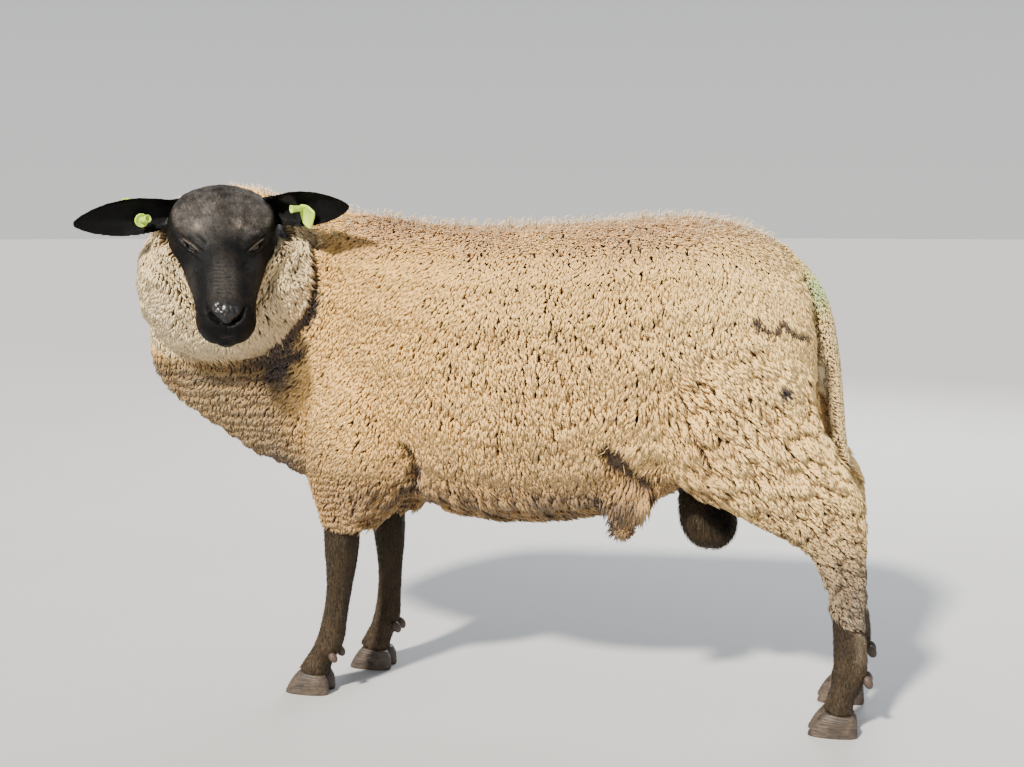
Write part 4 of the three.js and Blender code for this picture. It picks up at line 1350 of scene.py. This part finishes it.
def make_wisps(material):
    """Thin pale hairs that stand out of the fleece: along the spine, over the nape and sparsely elsewhere."""
    net = body_skin(0.012)
    root, normal = faces_of(net)
    bpy.data.meshes.remove(net)
    again = np.repeat(np.arange(len(root)), 5)
    root, normal = root[again], normal[again]
    x, _, z = root.T
    spine = step(0.5, 0.85, normal[:, 2]) * step(0.72, 0.76, z)
    nape = step(0.25, 0.7, normal[:, 2]) * step(0.75, 0.79, z) * step(-0.28, -0.34, x)
    share = 0.010 + 0.20 * spine + 0.50 * nape
    own = (chance.uniform(0, 1, len(root)) < share) & (black_share(root) < 0.05) & (skull_reach(root) > 1.15)
    root, normal = root[own], normal[own]
    spine, nape = spine[own], nape[own]
    count = len(root)
    root = root + chance.uniform(-0.006, 0.006, (count, 3)) * (1 - np.abs(normal))
    coat = hair_coat(root, normal, 0.02, 0.03, 0.0009)
    lie = fleece_lie(root, normal)
    stand = np.clip(spine + nape, 0, 1)
    coat["lie"] = unit(lie + 0.5 * np.cross(normal, lie) * chance.normal(0, 1, (count, 1)))
    coat["rise"] = coat_depth(root) * (1.0 + 0.12 * stand) + chance.uniform(0.0, 0.014, count) * stand
    coat["lean"] = chance.uniform(0.006, 0.022, count)
    coat["curl"] = chance.uniform(0, 0.003, count)
    coat["turns"] = chance.uniform(0.4, 0.9, count)
    coat["phase"] = chance.uniform(0, 6.28, count)
    coat["tone"] = painted(wool_tone(root), linear(240, 224, 190), stand * 0.7 + 0.1)
    lock_piece("wisps", coat, WOOL_RINGS, material)


# ---------------------------------------------------------------- eyes, hooves and tags
def grid_mesh(name, points):
    """A mesh from a grid of points, rows by columns, whose columns join round; end rows may be one place."""
    rows, columns, _ = points.shape
    index = np.arange(rows * columns).reshape(rows, columns)
    beside = np.roll(index, -1, axis=1)
    quads = np.stack([index[:-1], beside[:-1], beside[1:], index[1:]], axis=-1).reshape(-1, 4)
    mesh = bpy.data.meshes.new(name)
    mesh.from_pydata(points.reshape(-1, 3).tolist(), [], quads.tolist())
    work = bmesh.new()
    work.from_mesh(mesh)
    bmesh.ops.remove_doubles(work, verts=work.verts, dist=1e-6)
    bmesh.ops.holes_fill(work, edges=[edge for edge in work.edges if edge.is_boundary])
    bmesh.ops.recalc_face_normals(work, faces=work.faces)
    work.to_mesh(mesh)
    work.free()
    return mesh


def make_eye(name, side, material):
    """An eyeball: a sphere round the way it looks, with the clear front raised within a third of its turn."""
    slit, look, upward = eye_axes(side)
    tilt = np.linspace(0, math.pi, 49)[:, None]
    turn = np.linspace(0, 2 * math.pi, 64, endpoint=False)[None, :]
    radius = EYE_RADIUS - 0.0008 + 0.0008 * np.cos(np.clip(tilt / 0.75, 0, 1) * math.pi / 2) ** 2 + 0 * turn
    ring = radius * np.sin(tilt)
    points = (
        EYES[side]
        + (radius * np.cos(tilt))[..., None] * look
        + (ring * np.cos(turn))[..., None] * slit
        + (ring * np.sin(turn))[..., None] * upward
    )
    mesh = grid_mesh(name, points)
    gap = (points_of(mesh) - EYES[side]) / EYE_RADIUS
    out = gap @ look
    write_attribute(mesh, "iris", step(0.62, 0.70, out))
    pupil = np.maximum(np.abs(gap @ slit) / 0.42, np.abs(gap @ upward) / 0.17)
    write_attribute(mesh, "pupil", step(1.1, 0.9, pupil) * step(0.6, 0.7, out))
    eye = solid_piece(mesh, f"eyeball_{name}", material)
    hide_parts(f"eye_{name}")


# Half a hoof from its sole to its coronet, as shares of its box: height, toe's place, heel's place and width.
CLAW_ROWS = ((0.0, 0.0, 0.99, 0.93), (0.12, 0.01, 1.0, 0.96), (0.45, 0.10, 0.99, 1.0),
             (0.85, 0.23, 0.96, 0.96), (1.05, 0.31, 0.92, 0.86))


def make_claw(node, material):
    """Half a hoof: level squarish rings from the flat sole to the coronet, with ridges round the wall."""
    low, high = corners(node)
    size = high - low
    heights, toes, heels, widths = np.array(CLAW_ROWS).T
    level = np.concatenate([[0, 0, 0.02], np.linspace(0.05, 1.05, 34)])
    toe, heel, width = (np.interp(level, heights, row)[:, None] for row in (toes, heels, widths))
    inset = np.ones(len(level))
    inset[:3] = (0.0, 0.93, 0.985)
    turn = np.linspace(0, 2 * math.pi, 48, endpoint=False)[None, :]
    cos, sin = np.cos(turn), np.sin(turn)
    ring_x = np.sign(cos) * np.abs(cos) ** 0.85
    ring_y = np.sign(sin) * np.abs(sin) ** 0.9
    ridge = 1 + 0.010 * np.sin(level * 46)[:, None] * step(0.05, 0.2, level)[:, None]
    half_x = (heel - toe) / 2 * inset[:, None] * ridge
    half_y = width / 2 * inset[:, None] * ridge
    inner = 1 if node.endswith("inner") else -1
    side = inner if "_left_" in node else -inner
    flat = np.where(sin * side > 0, 0.92, 1.0)
    points = np.stack([
        low[0] + size[0] * ((toe + heel) / 2 + half_x * ring_x),
        (low[1] + high[1]) / 2 + size[1] * half_y * ring_y * flat,
        low[2] + size[2] * level[:, None] + 0 * turn,
    ], axis=-1)
    points[:, :, 2] -= 0.010 * (points[:, :, 0] - low[0]) / size[0] * step(0.5, 1.0, level)[:, None]
    mesh = grid_mesh(node, points)
    write_attribute(mesh, "height", points_of(mesh)[:, 2])
    claw = solid_piece(mesh, node.replace("claw", "hoof"), material)
    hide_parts(node)


def make_dewclaw(node, material):
    """A blunt cone of horn: an egg whose end is drawn down, with ridges round it."""
    low, high = corners(node)
    centre, half = (low + high) / 2, (high - low) / 2
    tilt = np.linspace(0, math.pi, 21)[:, None]
    turn = np.linspace(0, 2 * math.pi, 24, endpoint=False)[None, :]
    ridge = 1 + 0.03 * np.sin(tilt * 22)
    offset = np.stack([
        np.sin(tilt) * np.cos(turn) * ridge * half[0],
        np.sin(tilt) * np.sin(turn) * ridge * half[1] * 0.9,
        np.cos(tilt) * half[2] + 0 * turn,
    ], axis=-1)
    offset[:, :, 0] += 0.15 * half[0] - 0.3 * half[0] * offset[:, :, 2] / half[2]
    mesh = grid_mesh(node, centre + offset * 0.97)
    write_attribute(mesh, "height", points_of(mesh)[:, 2])
    spur = solid_piece(mesh, node.replace("dewclaw", "spur"), material)
    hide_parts(node)


# ---------------------------------------------------------------- ear tags
EAR_SWING = {1: (40.0, -5.0), -1: (6.0, 4.5)}  # how far each ear turns forward and droops, in degrees
STUD_REACH = 0.022  # from the ear to the end of the solid stud
# A tag's plate stands on its base, given in its ear's frame as along the ear, across it and out of its
# hollow side, in millimetres. The plate faces one way and the stud leans another. Outlines go sideways and up
# from the base.
TAG_LEFT = {
    "base": (1.7, -0.9, 12.6), "face": (-0.23, 0.178, 0.957), "stud": (-0.441, 0.34, 0.831), "reach": 19.0,
    "outline": ((-4, 5), (1.4, 6.4), (14.6, 4.6), (28.2, -6.2), (25.2, -14.4), (18.4, -23.8), (11.8, -33.2),
                (5.6, -33.2), (-4.2, -24.8), (-5.6, -12.4), (-5.2, -2.6)),
}
TAG_RIGHT = {
    "base": (8.8, 7.3, 16.0), "face": (-0.279, -0.184, 0.943), "stud": (-0.525, -0.347, 0.777), "reach": 18.0,
    "outline": tuple((11.2 * math.cos(turn), 11.2 * math.sin(turn)) for turn in np.arange(0, 6.28, 0.6)),
}
BACK_PLATES = {1: ((-8, -9), (9, -10), (34, 10), (35, 24), (17, 27), (-9, 9)),
               -1: ((-8, -9), (9, -10), (33, 6), (37, 15), (32, 23), (23, 23), (9, 10), (-9, 6))}
# Rings of a plate: share of its outline, and height in millimetres.
PLATE_ROWS = ((0.0, 0.9), (0.78, 0.9), (0.84, 1.7), (0.95, 1.7), (1.0, 1.1), (1.0, -0.7), (0.96, -1.1),
              (0.0, -1.1))
# Rings of a stud: place, as millimetres behind the plate or as a share of the reach before it, and radius.
STUD_ROWS = ((-9, 0), (-9, 2.4), (-1, 2.4), (0, 4.4), (0.45, 4.8), (0.9, 5.6), (0.96, 6.3), (1.0, 6.3),
             (1.02, 5.8), (1.0, 3.6), (0.8, 3.2), (0.8, 0))
BEHIND_THE_EAR = 0.0095  # from the pin's place to the back plate


def ear_frame(name, side):
    """Where the pin passes an ear, and the ear's axes: along it, across it and out of its hollow side."""
    forward, droop = (math.radians(angle) for angle in EAR_SWING[side])
    aim = unit(HEAD_LEFT * side * math.cos(forward) + FACING * math.sin(forward) - UP * math.tan(droop))
    opening = FACING - 0.3 * UP
    opening = unit(opening - aim * (opening @ aim))
    axes = np.array([aim, np.cross(opening, aim), opening])
    points = node_points(f"tag_front_{name}") @ axes.T
    end = np.unique(points[points[:, 2] > points[:, 2].max() - 0.0005].round(5), axis=0).mean(axis=0)
    return (end - [0, 0, STUD_REACH]) @ axes, axes


def rounded(outline, rounds=3, cut=0.18):
    """The outline with its corners cut off again and again, each time by this share of each side."""
    points = np.array(outline, float)
    for _ in range(rounds):
        after = np.roll(points, -1, axis=0)
        near, far = points * (1 - cut) + after * cut, points * cut + after * (1 - cut)
        points = np.stack([near, far], axis=1).reshape(-1, 2)
    return points


def plate_mesh(name, outline, place, sideways, upward, out):
    """A thin plate with a raised rim: rings of the outline shrunk to its middle, each at its own height."""
    shape = rounded(outline) / 1000
    centre = shape.mean(axis=0)
    rings = []
    for share, height in PLATE_ROWS:
        flat = centre + (shape - centre) * share
        rings.append(place + flat[:, :1] * sideways + flat[:, 1:] * upward + out * height / 1000)
    return grid_mesh(name, np.array(rings))


def turned_mesh(name, rows, place, axis):
    """Rings round an axis, from rows of a place along it and a radius, both in metres."""
    turn = np.linspace(0, 2 * math.pi, 32, endpoint=False)
    side = unit(np.cross(axis, UP))
    ring = np.cos(turn)[:, None] * side + np.sin(turn)[:, None] * np.cross(axis, side)
    return grid_mesh(name, np.array([place + axis * along + ring * radius for along, radius in rows]))


def make_tag(name, side, tag, material):
    """The front of a tag, with its hollow stud, and the plate behind the ear, with its pin."""
    foot, axes = ear_frame(name, side)
    base = foot + np.array(tag["base"]) / 1000 @ axes
    face, axis = (unit(np.array(tag[way]) @ axes) for way in ("face", "stud"))
    upward = unit(UP - face * (UP @ face))
    front = plate_mesh("front", tag["outline"], base, np.cross(upward, face), upward, face)
    front = solid_piece(front, f"ear_tag_{name}", material)
    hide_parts(f"tag_front_{name}")
    reach = tag["reach"] / 1000
    rows = [(share / 1000 if share < 0 else share * reach, radius / 1000) for share, radius in STUD_ROWS]
    solid_piece(turned_mesh("stud", rows, base, axis), f"ear_tag_stud_{name}", material)
    behind = foot - axes[2] * BEHIND_THE_EAR
    flip = np.sign(axes[1][2]) * (-1 if side > 0 else 1)
    back = plate_mesh("back", BACK_PLATES[side], behind, axes[0], axes[1] * flip, -axes[2])
    back = solid_piece(back, f"ear_tag_back_{name}", material)
    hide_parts(f"tag_back_{name}")


# ---------------------------------------------------------------- shader helpers
def feed(tree, target, value):
    """Joins a socket to an input, or sets the input to a plain value."""
    if isinstance(value, bpy.types.NodeSocket):
        tree.links.new(value, target)
    else:
        target.default_value = value


def settle(tree, node, *ordered, **named):
    """Feeds a node's inputs, some in their order and some by name."""
    for place, value in enumerate(ordered):
        feed(tree, node.inputs[place], value)
    for name, value in named.items():
        feed(tree, node.inputs[name.replace("_", " ")], value)


def put(tree, kind, *ordered, **named):
    """A new node. A named value that it has as a setting is set, and all others feed its inputs."""
    node = tree.nodes.new(f"ShaderNode{kind}")
    for name in [name for name in named if hasattr(node, name)]:
        setattr(node, name, named.pop(name))
    settle(tree, node, *ordered, **named)
    return node


def group(name, outputs, **inputs):
    """An empty shader group: its outputs by name, and its inputs by name with their first values."""
    tree = bpy.data.node_groups.new(name, "ShaderNodeTree")
    for label, value in inputs.items():
        kind = "Float" if isinstance(value, float) else {3: "Vector", 4: "Color"}[len(value)]
        label = label.replace("_", " ")
        socket = tree.interface.new_socket(label, in_out="INPUT", socket_type=f"NodeSocket{kind}")
        socket.default_value = value
    for label in outputs:
        kind = "Color" if label == "Color" else "Float"
        tree.interface.new_socket(label, in_out="OUTPUT", socket_type=f"NodeSocket{kind}")
    return tree, tree.nodes.new("NodeGroupInput").outputs, tree.nodes.new("NodeGroupOutput")


def mix_colour(tree, first, second, share, mode="MIX"):
    node = put(tree, "Mix", share, data_type="RGBA", blend_type=mode)
    feed(tree, node.inputs[6], first)
    feed(tree, node.inputs[7], second)
    return node.outputs[2]


def mix_value(tree, first, second, share):
    node = put(tree, "Mix", share, data_type="FLOAT")
    feed(tree, node.inputs[2], first)
    feed(tree, node.inputs[3], second)
    return node.outputs[0]


def mapped(tree, value, low, high, to_low=0.0, to_high=1.0):
    ends = {"From_Min": low, "From_Max": high, "To_Min": to_low, "To_Max": to_high}
    return put(tree, "MapRange", clamp=True, Value=value, **ends).outputs[0]


def computed(tree, operation, *values):
    return put(tree, "Math", *values, operation=operation).outputs[0]


def product(tree, *values):
    whole = values[0]
    for value in values[1:]:
        whole = computed(tree, "MULTIPLY", whole, value)
    return whole


def noise(tree, place, scale, detail=3.0, rough=0.6):
    return put(tree, "TexNoise", Vector=place, Scale=scale, Detail=detail, Roughness=rough).outputs["Fac"]


def object_place(tree):
    return put(tree, "TexCoord").outputs["Object"]


def attribute(tree, name, output="Fac"):
    return put(tree, "Attribute", attribute_name=name).outputs[output]


def bump(tree, height, strength, distance):
    return put(tree, "Bump", Height=height, Strength=strength, Distance=distance).outputs[0]


def paint(red, green, blue):
    """A colour given on the 0 to 255 scale, as an opaque colour of a shader."""
    return (*[float(part) for part in linear(red, green, blue)], 1.0)


def new_material(name):
    material = bpy.data.materials.new(name)
    material.use_nodes = True
    return material, material.node_tree, material.node_tree.nodes["Principled BSDF"]


# ---------------------------------------------------------------- shader groups
def lock_shade_group():
    """Shade of a lock: darkened at its root by painted shade and soiling deep in the coat, and bright at its
    tip, lighter or darker by luck, with crimp across it, fine fibres along it and dust by place."""
    tree, entry, ending = group(
        "Lock Shade", ("Color", "Height", "Roughness"), Tone=(0.5, 0.5, 0.5, 1), Along=0.5, Luck=0.5,
        Root_Tint=(0.6, 0.5, 0.4, 1), Tip_Tint=(1.15, 1.15, 1.15, 1), Least=0.85, Most=1.12,
        Strand=(0, 0, 0), Place=(0, 0, 0), Crimp=11.0,
    )
    tint = mix_colour(tree, entry["Root Tint"], entry["Tip Tint"], mapped(tree, entry["Along"], 0.35, 0.92))
    fortune = mapped(tree, entry["Luck"], 0.0, 1.0, entry["Least"], entry["Most"])
    start = product(tree, entry["Luck"], 9.0)
    turn = computed(tree, "ADD", product(tree, entry["Along"], entry["Crimp"]), start)
    crimp = mapped(tree, computed(tree, "SINE", product(tree, turn, 2 * math.pi)), -1, 1)
    stretched = put(tree, "VectorMath", entry["Strand"], (6.0, 1.5, 1.0), operation="MULTIPLY")
    fibre = noise(tree, stretched.outputs[0], 3.0, 3.0, 0.7)
    streak = mapped(tree, fibre, 0.3, 0.7, 0.90, 1.08)
    bands = mapped(tree, crimp, 0, 1, 0.88, 1.08)
    tinted = mix_colour(tree, entry["Tone"], tint, 1.0, "MULTIPLY")
    factor = product(tree, fortune, bands, streak)
    scaled = put(tree, "VectorMath", tinted, operation="SCALE", Scale=factor).outputs[0]
    patch = mapped(tree, noise(tree, entry["Place"], 26.0, 4.0, 0.7), 0.45, 0.72)
    settle(
        tree, ending,
        Color=mix_colour(tree, scaled, paint(*DUST), product(tree, patch, 0.16)),
        Height=computed(tree, "ADD", product(tree, crimp, 0.7), fibre),
        Roughness=mapped(tree, fibre, 0.2, 0.8, 0.75, 0.95),
    )
    return tree


def short_coat_group():
    """Short hair seen as a surface: a fleck of paler hairs over the tone, and a fine bump."""
    tree, entry, ending = group(
        "Short Coat", ("Color", "Height", "Roughness"), Tone=(0.05, 0.05, 0.05, 1),
        Fleck=(3.4, 3.3, 3.2, 1), Fleck_Amount=0.3, Place=(0, 0, 0), Scale=430.0,
    )
    grain = noise(tree, entry["Place"], entry["Scale"], 2.0, 0.7)
    broad = mapped(tree, noise(tree, entry["Place"], 45.0, 3.0), 0.35, 0.65, 0.2, 1.0)
    amount = product(tree, mapped(tree, grain, 0.56, 0.72), broad, entry["Fleck Amount"])
    paler = mix_colour(tree, entry["Tone"], entry["Fleck"], 1.0, "MULTIPLY")
    settle(
        tree, ending,
        Color=mix_colour(tree, entry["Tone"], paler, amount),
        Height=grain,
        Roughness=mapped(tree, broad, 0.2, 1.0, 0.5, 0.72),
    )
    return tree


def mud_group():
    """Dried mud: patches of earth colour that thicken towards the floor."""
    tree, entry, ending = group(
        "Dried Mud", ("Color",), Color=(0.1, 0.1, 0.1, 1), Place=(0, 0, 0), Top=0.3, Amount=0.6,
    )
    height = put(tree, "SeparateXYZ", entry["Place"]).outputs["Z"]
    level = mapped(tree, height, 0.0, entry["Top"], 1.0, 0.0)
    patch = mapped(tree, noise(tree, entry["Place"], 42.0, 5.0, 0.7), 0.42, 0.62)
    crumbs = mapped(tree, noise(tree, entry["Place"], 240.0, 3.0, 0.7), 0.35, 0.7, 0.4, 1.0)
    mask = product(tree, product(tree, patch, crumbs), product(tree, level, entry["Amount"]))
    settle(tree, ending, Color=mix_colour(tree, entry["Color"], paint(112, 92, 74), mask))
    return tree


def shaded_locks(tree, lock_shade, place, **looks):
    """The outputs of the lock shade, fed by the locks' own values."""
    return put(
        tree, "Group", node_tree=lock_shade, Tone=attribute(tree, "tone", "Color"),
        Along=attribute(tree, "along"), Luck=attribute(tree, "luck"), Place=place,
        Strand=put(tree, "UVMap", uv_map="strand").outputs[0], **looks,
    ).outputs


def muddied(tree, mud, colour, place, top, amount):
    """A colour under dried mud."""
    earth = put(tree, "Group", node_tree=mud, Color=colour, Place=place, Top=top, Amount=amount)
    return earth.outputs["Color"]


# ---------------------------------------------------------------- materials
def wool_material(lock_shade):
    material, tree, shader = new_material("raw wool")
    # the darker root colour is painted shade and soiling deep in the fleece
    shade = shaded_locks(tree, lock_shade, object_place(tree), Root_Tint=(0.58, 0.48, 0.37, 1),
                         Tip_Tint=(1.20, 1.18, 1.15, 1), Least=0.82, Most=1.14, Crimp=11.0)
    settle(
        tree, shader,
        Base_Color=shade["Color"],
        Roughness=shade["Roughness"],
        Normal=bump(tree, shade["Height"], 0.6, 0.0007),
        Sheen_Weight=0.2,
        Sheen_Roughness=0.6,
        Specular_IOR_Level=0.25,
    )
    return material


def hair_material(lock_shade, mud):
    material, tree, shader = new_material("short black hair")
    place = object_place(tree)
    # the darker root colour is painted shade among the hairs
    shade = shaded_locks(tree, lock_shade, place, Root_Tint=(0.6, 0.6, 0.6, 1),
                         Tip_Tint=(1.5, 1.46, 1.42, 1), Least=0.4, Most=2.2, Crimp=0.5)
    settle(
        tree, shader,
        Base_Color=muddied(tree, mud, shade["Color"], place, MUD_TOP, 0.35),
        Roughness=shade["Roughness"],
        Specular_IOR_Level=0.10,
    )
    return material


def skin_material(short_coat, mud):
    """Short-coated skin, bare and glossy with fine pores on the nose and the lids."""
    material, tree, shader = new_material("short-coated skin")
    place = object_place(tree)
    bare = attribute(tree, "bare")
    coat = put(tree, "Group", node_tree=short_coat, Tone=attribute(tree, "tone", "Color"), Place=place,
               Fleck_Amount=attribute(tree, "flecked"), Scale=300.0).outputs
    colour = muddied(tree, mud, coat["Color"], place, MUD_TOP, 0.3)
    pores = put(tree, "TexVoronoi", Vector=place, Scale=420.0, feature="DISTANCE_TO_EDGE").outputs["Distance"]
    relief = mix_value(tree, coat["Height"], mapped(tree, pores, 0.0, 0.35), bare)
    settle(
        tree, shader,
        Base_Color=mix_colour(tree, colour, paint(20, 19, 20), bare),
        Roughness=mix_value(tree, coat["Roughness"], 0.30, bare),
        Normal=bump(tree, relief, 0.55, 0.0008),
        Coat_Weight=product(tree, bare, mapped(tree, pores, 0.0, 0.22)),
        Coat_Roughness=0.27,
        Specular_IOR_Level=0.12,
    )
    return material


def horn_material(mud):
    """Banded horn, paler near the coronet, under mud."""
    material, tree, shader = new_material("hoof horn")
    place = object_place(tree)
    level = put(tree, "Mapping", Vector=place, Scale=(1.0, 1.0, 5.0)).outputs[0]
    band = noise(tree, level, 60.0, 4.0, 0.6)
    wall = mix_colour(tree, paint(30, 26, 23), paint(70, 58, 46), mapped(tree, band, 0.35, 0.7))
    coronet = mapped(tree, attribute(tree, "height"), 0.045, 0.052)
    colour = mix_colour(tree, wall, paint(62, 48, 40), coronet)
    settle(
        tree, shader,
        Base_Color=muddied(tree, mud, colour, place, 0.12, 0.55),
        Roughness=mapped(tree, band, 0.3, 0.7, 0.45, 0.7),
        Normal=bump(tree, band, 0.6, 0.0012),
    )
    return material


def eye_material():
    """A dark brown iris round a level, long pupil, under a wet front."""
    material, tree, shader = new_material("wet eye")
    fibres = mapped(tree, noise(tree, object_place(tree), 900.0, 3.0), 0.3, 0.7)
    iris = mix_colour(tree, paint(20, 12, 8), paint(48, 30, 17), fibres)
    white = mix_colour(tree, paint(40, 30, 28), iris, attribute(tree, "iris"))
    settle(
        tree, shader,
        Base_Color=mix_colour(tree, white, (0.003, 0.003, 0.003, 1), attribute(tree, "pupil")),
        Roughness=mapped(tree, fibres, 0, 1, 0.14, 0.22),
        Coat_Weight=0.45,
        Coat_Roughness=0.03,
    )
    return material


def tag_material():
    """Blotched yellow-green plastic with grime in its pits."""
    material, tree, shader = new_material("moulded tag")
    place = object_place(tree)
    blotch = noise(tree, place, 130.0, 4.0, 0.6)
    colour = mix_colour(tree, paint(178, 214, 66), paint(206, 232, 104), mapped(tree, blotch, 0.3, 0.7))
    grime = mapped(tree, noise(tree, place, 520.0, 5.0, 0.75), 0.52, 0.68, 0.0, 0.55)
    settle(
        tree, shader,
        Base_Color=mix_colour(tree, colour, paint(96, 92, 50), grime),
        Roughness=mapped(tree, grime, 0, 0.5, 0.38, 0.6),
        Normal=bump(tree, blotch, 0.2, 0.0005),
        Subsurface_Weight=0.15,
        Subsurface_Scale=0.002,
    )
    return material


# ---------------------------------------------------------------- the studio
CAMERA_PLACE = (0.5436, -2.2557, 0.815)
CAMERA_AZIMUTH = math.radians(13.0)
CAMERA_PITCH = math.radians(6.955)
FLOOR_REACH = 40.0
MIDDLE_OF_RAM = (0.0, 0.0, 0.45)


def make_camera():
    camera = bpy.data.cameras.new("camera")
    camera.lens = 50
    camera.sensor_width = 36
    camera.clip_end = 100
    view = new_object("camera", camera)
    view.location = CAMERA_PLACE
    view.rotation_euler = (math.pi / 2 - CAMERA_PITCH, 0, CAMERA_AZIMUTH)
    bpy.context.scene.camera = view


def make_floor():
    """A pale floor with a faint cloud of grey, wide enough for every view."""
    material, tree, shader = new_material("studio floor")
    cloud = noise(tree, object_place(tree), 1.5, 3.0)
    colour = mix_colour(tree, (0.44, 0.44, 0.435, 1), (0.48, 0.48, 0.475, 1), cloud)
    settle(tree, shader, Base_Color=colour, Roughness=mapped(tree, cloud, 0, 1, 0.75, 0.9))
    turn = np.linspace(0, 2 * math.pi, 96, endpoint=False)
    rim = np.stack([np.cos(turn) * FLOOR_REACH, np.sin(turn) * FLOOR_REACH, np.zeros(len(turn))], axis=1)
    mesh = bpy.data.meshes.new("floor")
    mesh.from_pydata(rim.tolist(), [], [list(range(len(turn)))])
    mesh.materials.append(material)
    new_object("floor", mesh)


def make_lamp(name, kind, place, way, **settings):
    """A lamp at a place that shines one way."""
    lamp = bpy.data.lights.new(name, kind)
    for setting, value in settings.items():
        setattr(lamp, setting, value)
    light = new_object(name, lamp)
    light.location = place
    light.rotation_euler = Vector(way).to_track_quat("-Z", "Y").to_euler()


def make_sky():
    """An even pale surround, palest at the level of the horizon, so that the floor runs into it."""
    world = bpy.data.worlds.new("studio")
    world.use_nodes = True
    tree = world.node_tree
    height = put(tree, "SeparateXYZ", put(tree, "TexCoord").outputs["Generated"]).outputs["Z"]
    rise = mapped(tree, computed(tree, "ABSOLUTE", height), 0.0, 0.45)
    colour = mix_colour(tree, (0.98, 0.97, 0.95, 1), (0.55, 0.60, 0.68, 1), rise)
    settle(tree, tree.nodes["Background"], Color=colour, Strength=0.85)
    bpy.context.scene.world = world


def make_studio():
    """The floor, a warm sun behind the camera's left side, a weak cool fill and a cool rim from behind."""
    make_floor()
    make_lamp("key", "SUN", (-0.9, -3.0, 2.5), (0.30, 0.95, -0.78),
              energy=10.0, angle=math.radians(5), color=(1.0, 0.93, 0.82))
    make_sky()
    for name, place, size, energy, colour in (
        ("fill", (3.2, -2.6, 1.6), 2.6, 20, (0.86, 0.92, 1.0)),
        ("rim", (0.8, 3.4, 2.6), 2.0, 150, (0.92, 0.96, 1.0)),
    ):
        way = Vector(MIDDLE_OF_RAM) - Vector(place)
        make_lamp(name, "AREA", place, way, shape="DISK", size=size, energy=energy, color=colour)


def main():
    make_camera()
    make_studio()
    lock_shade = lock_shade_group()
    short_coat = short_coat_group()
    mud = mud_group()
    wool = wool_material(lock_shade)
    horn = horn_material(mud)
    eye = eye_material()
    tag = tag_material()
    skin = make_skin(skin_material(short_coat, mud))
    make_fleece(wool)
    make_hair(skin, hair_material(lock_shade, mud))
    make_wisps(wool)
    for name, side in SIDES:
        make_eye(name, side, eye)
        make_tag(name, side, TAG_LEFT if side > 0 else TAG_RIGHT, tag)
    for leg in LEGS:
        for edge in ("inner", "outer"):
            make_claw(f"claw_{leg}_{edge}", horn)
            make_dewclaw(f"dewclaw_{leg}_{edge}", horn)


main()
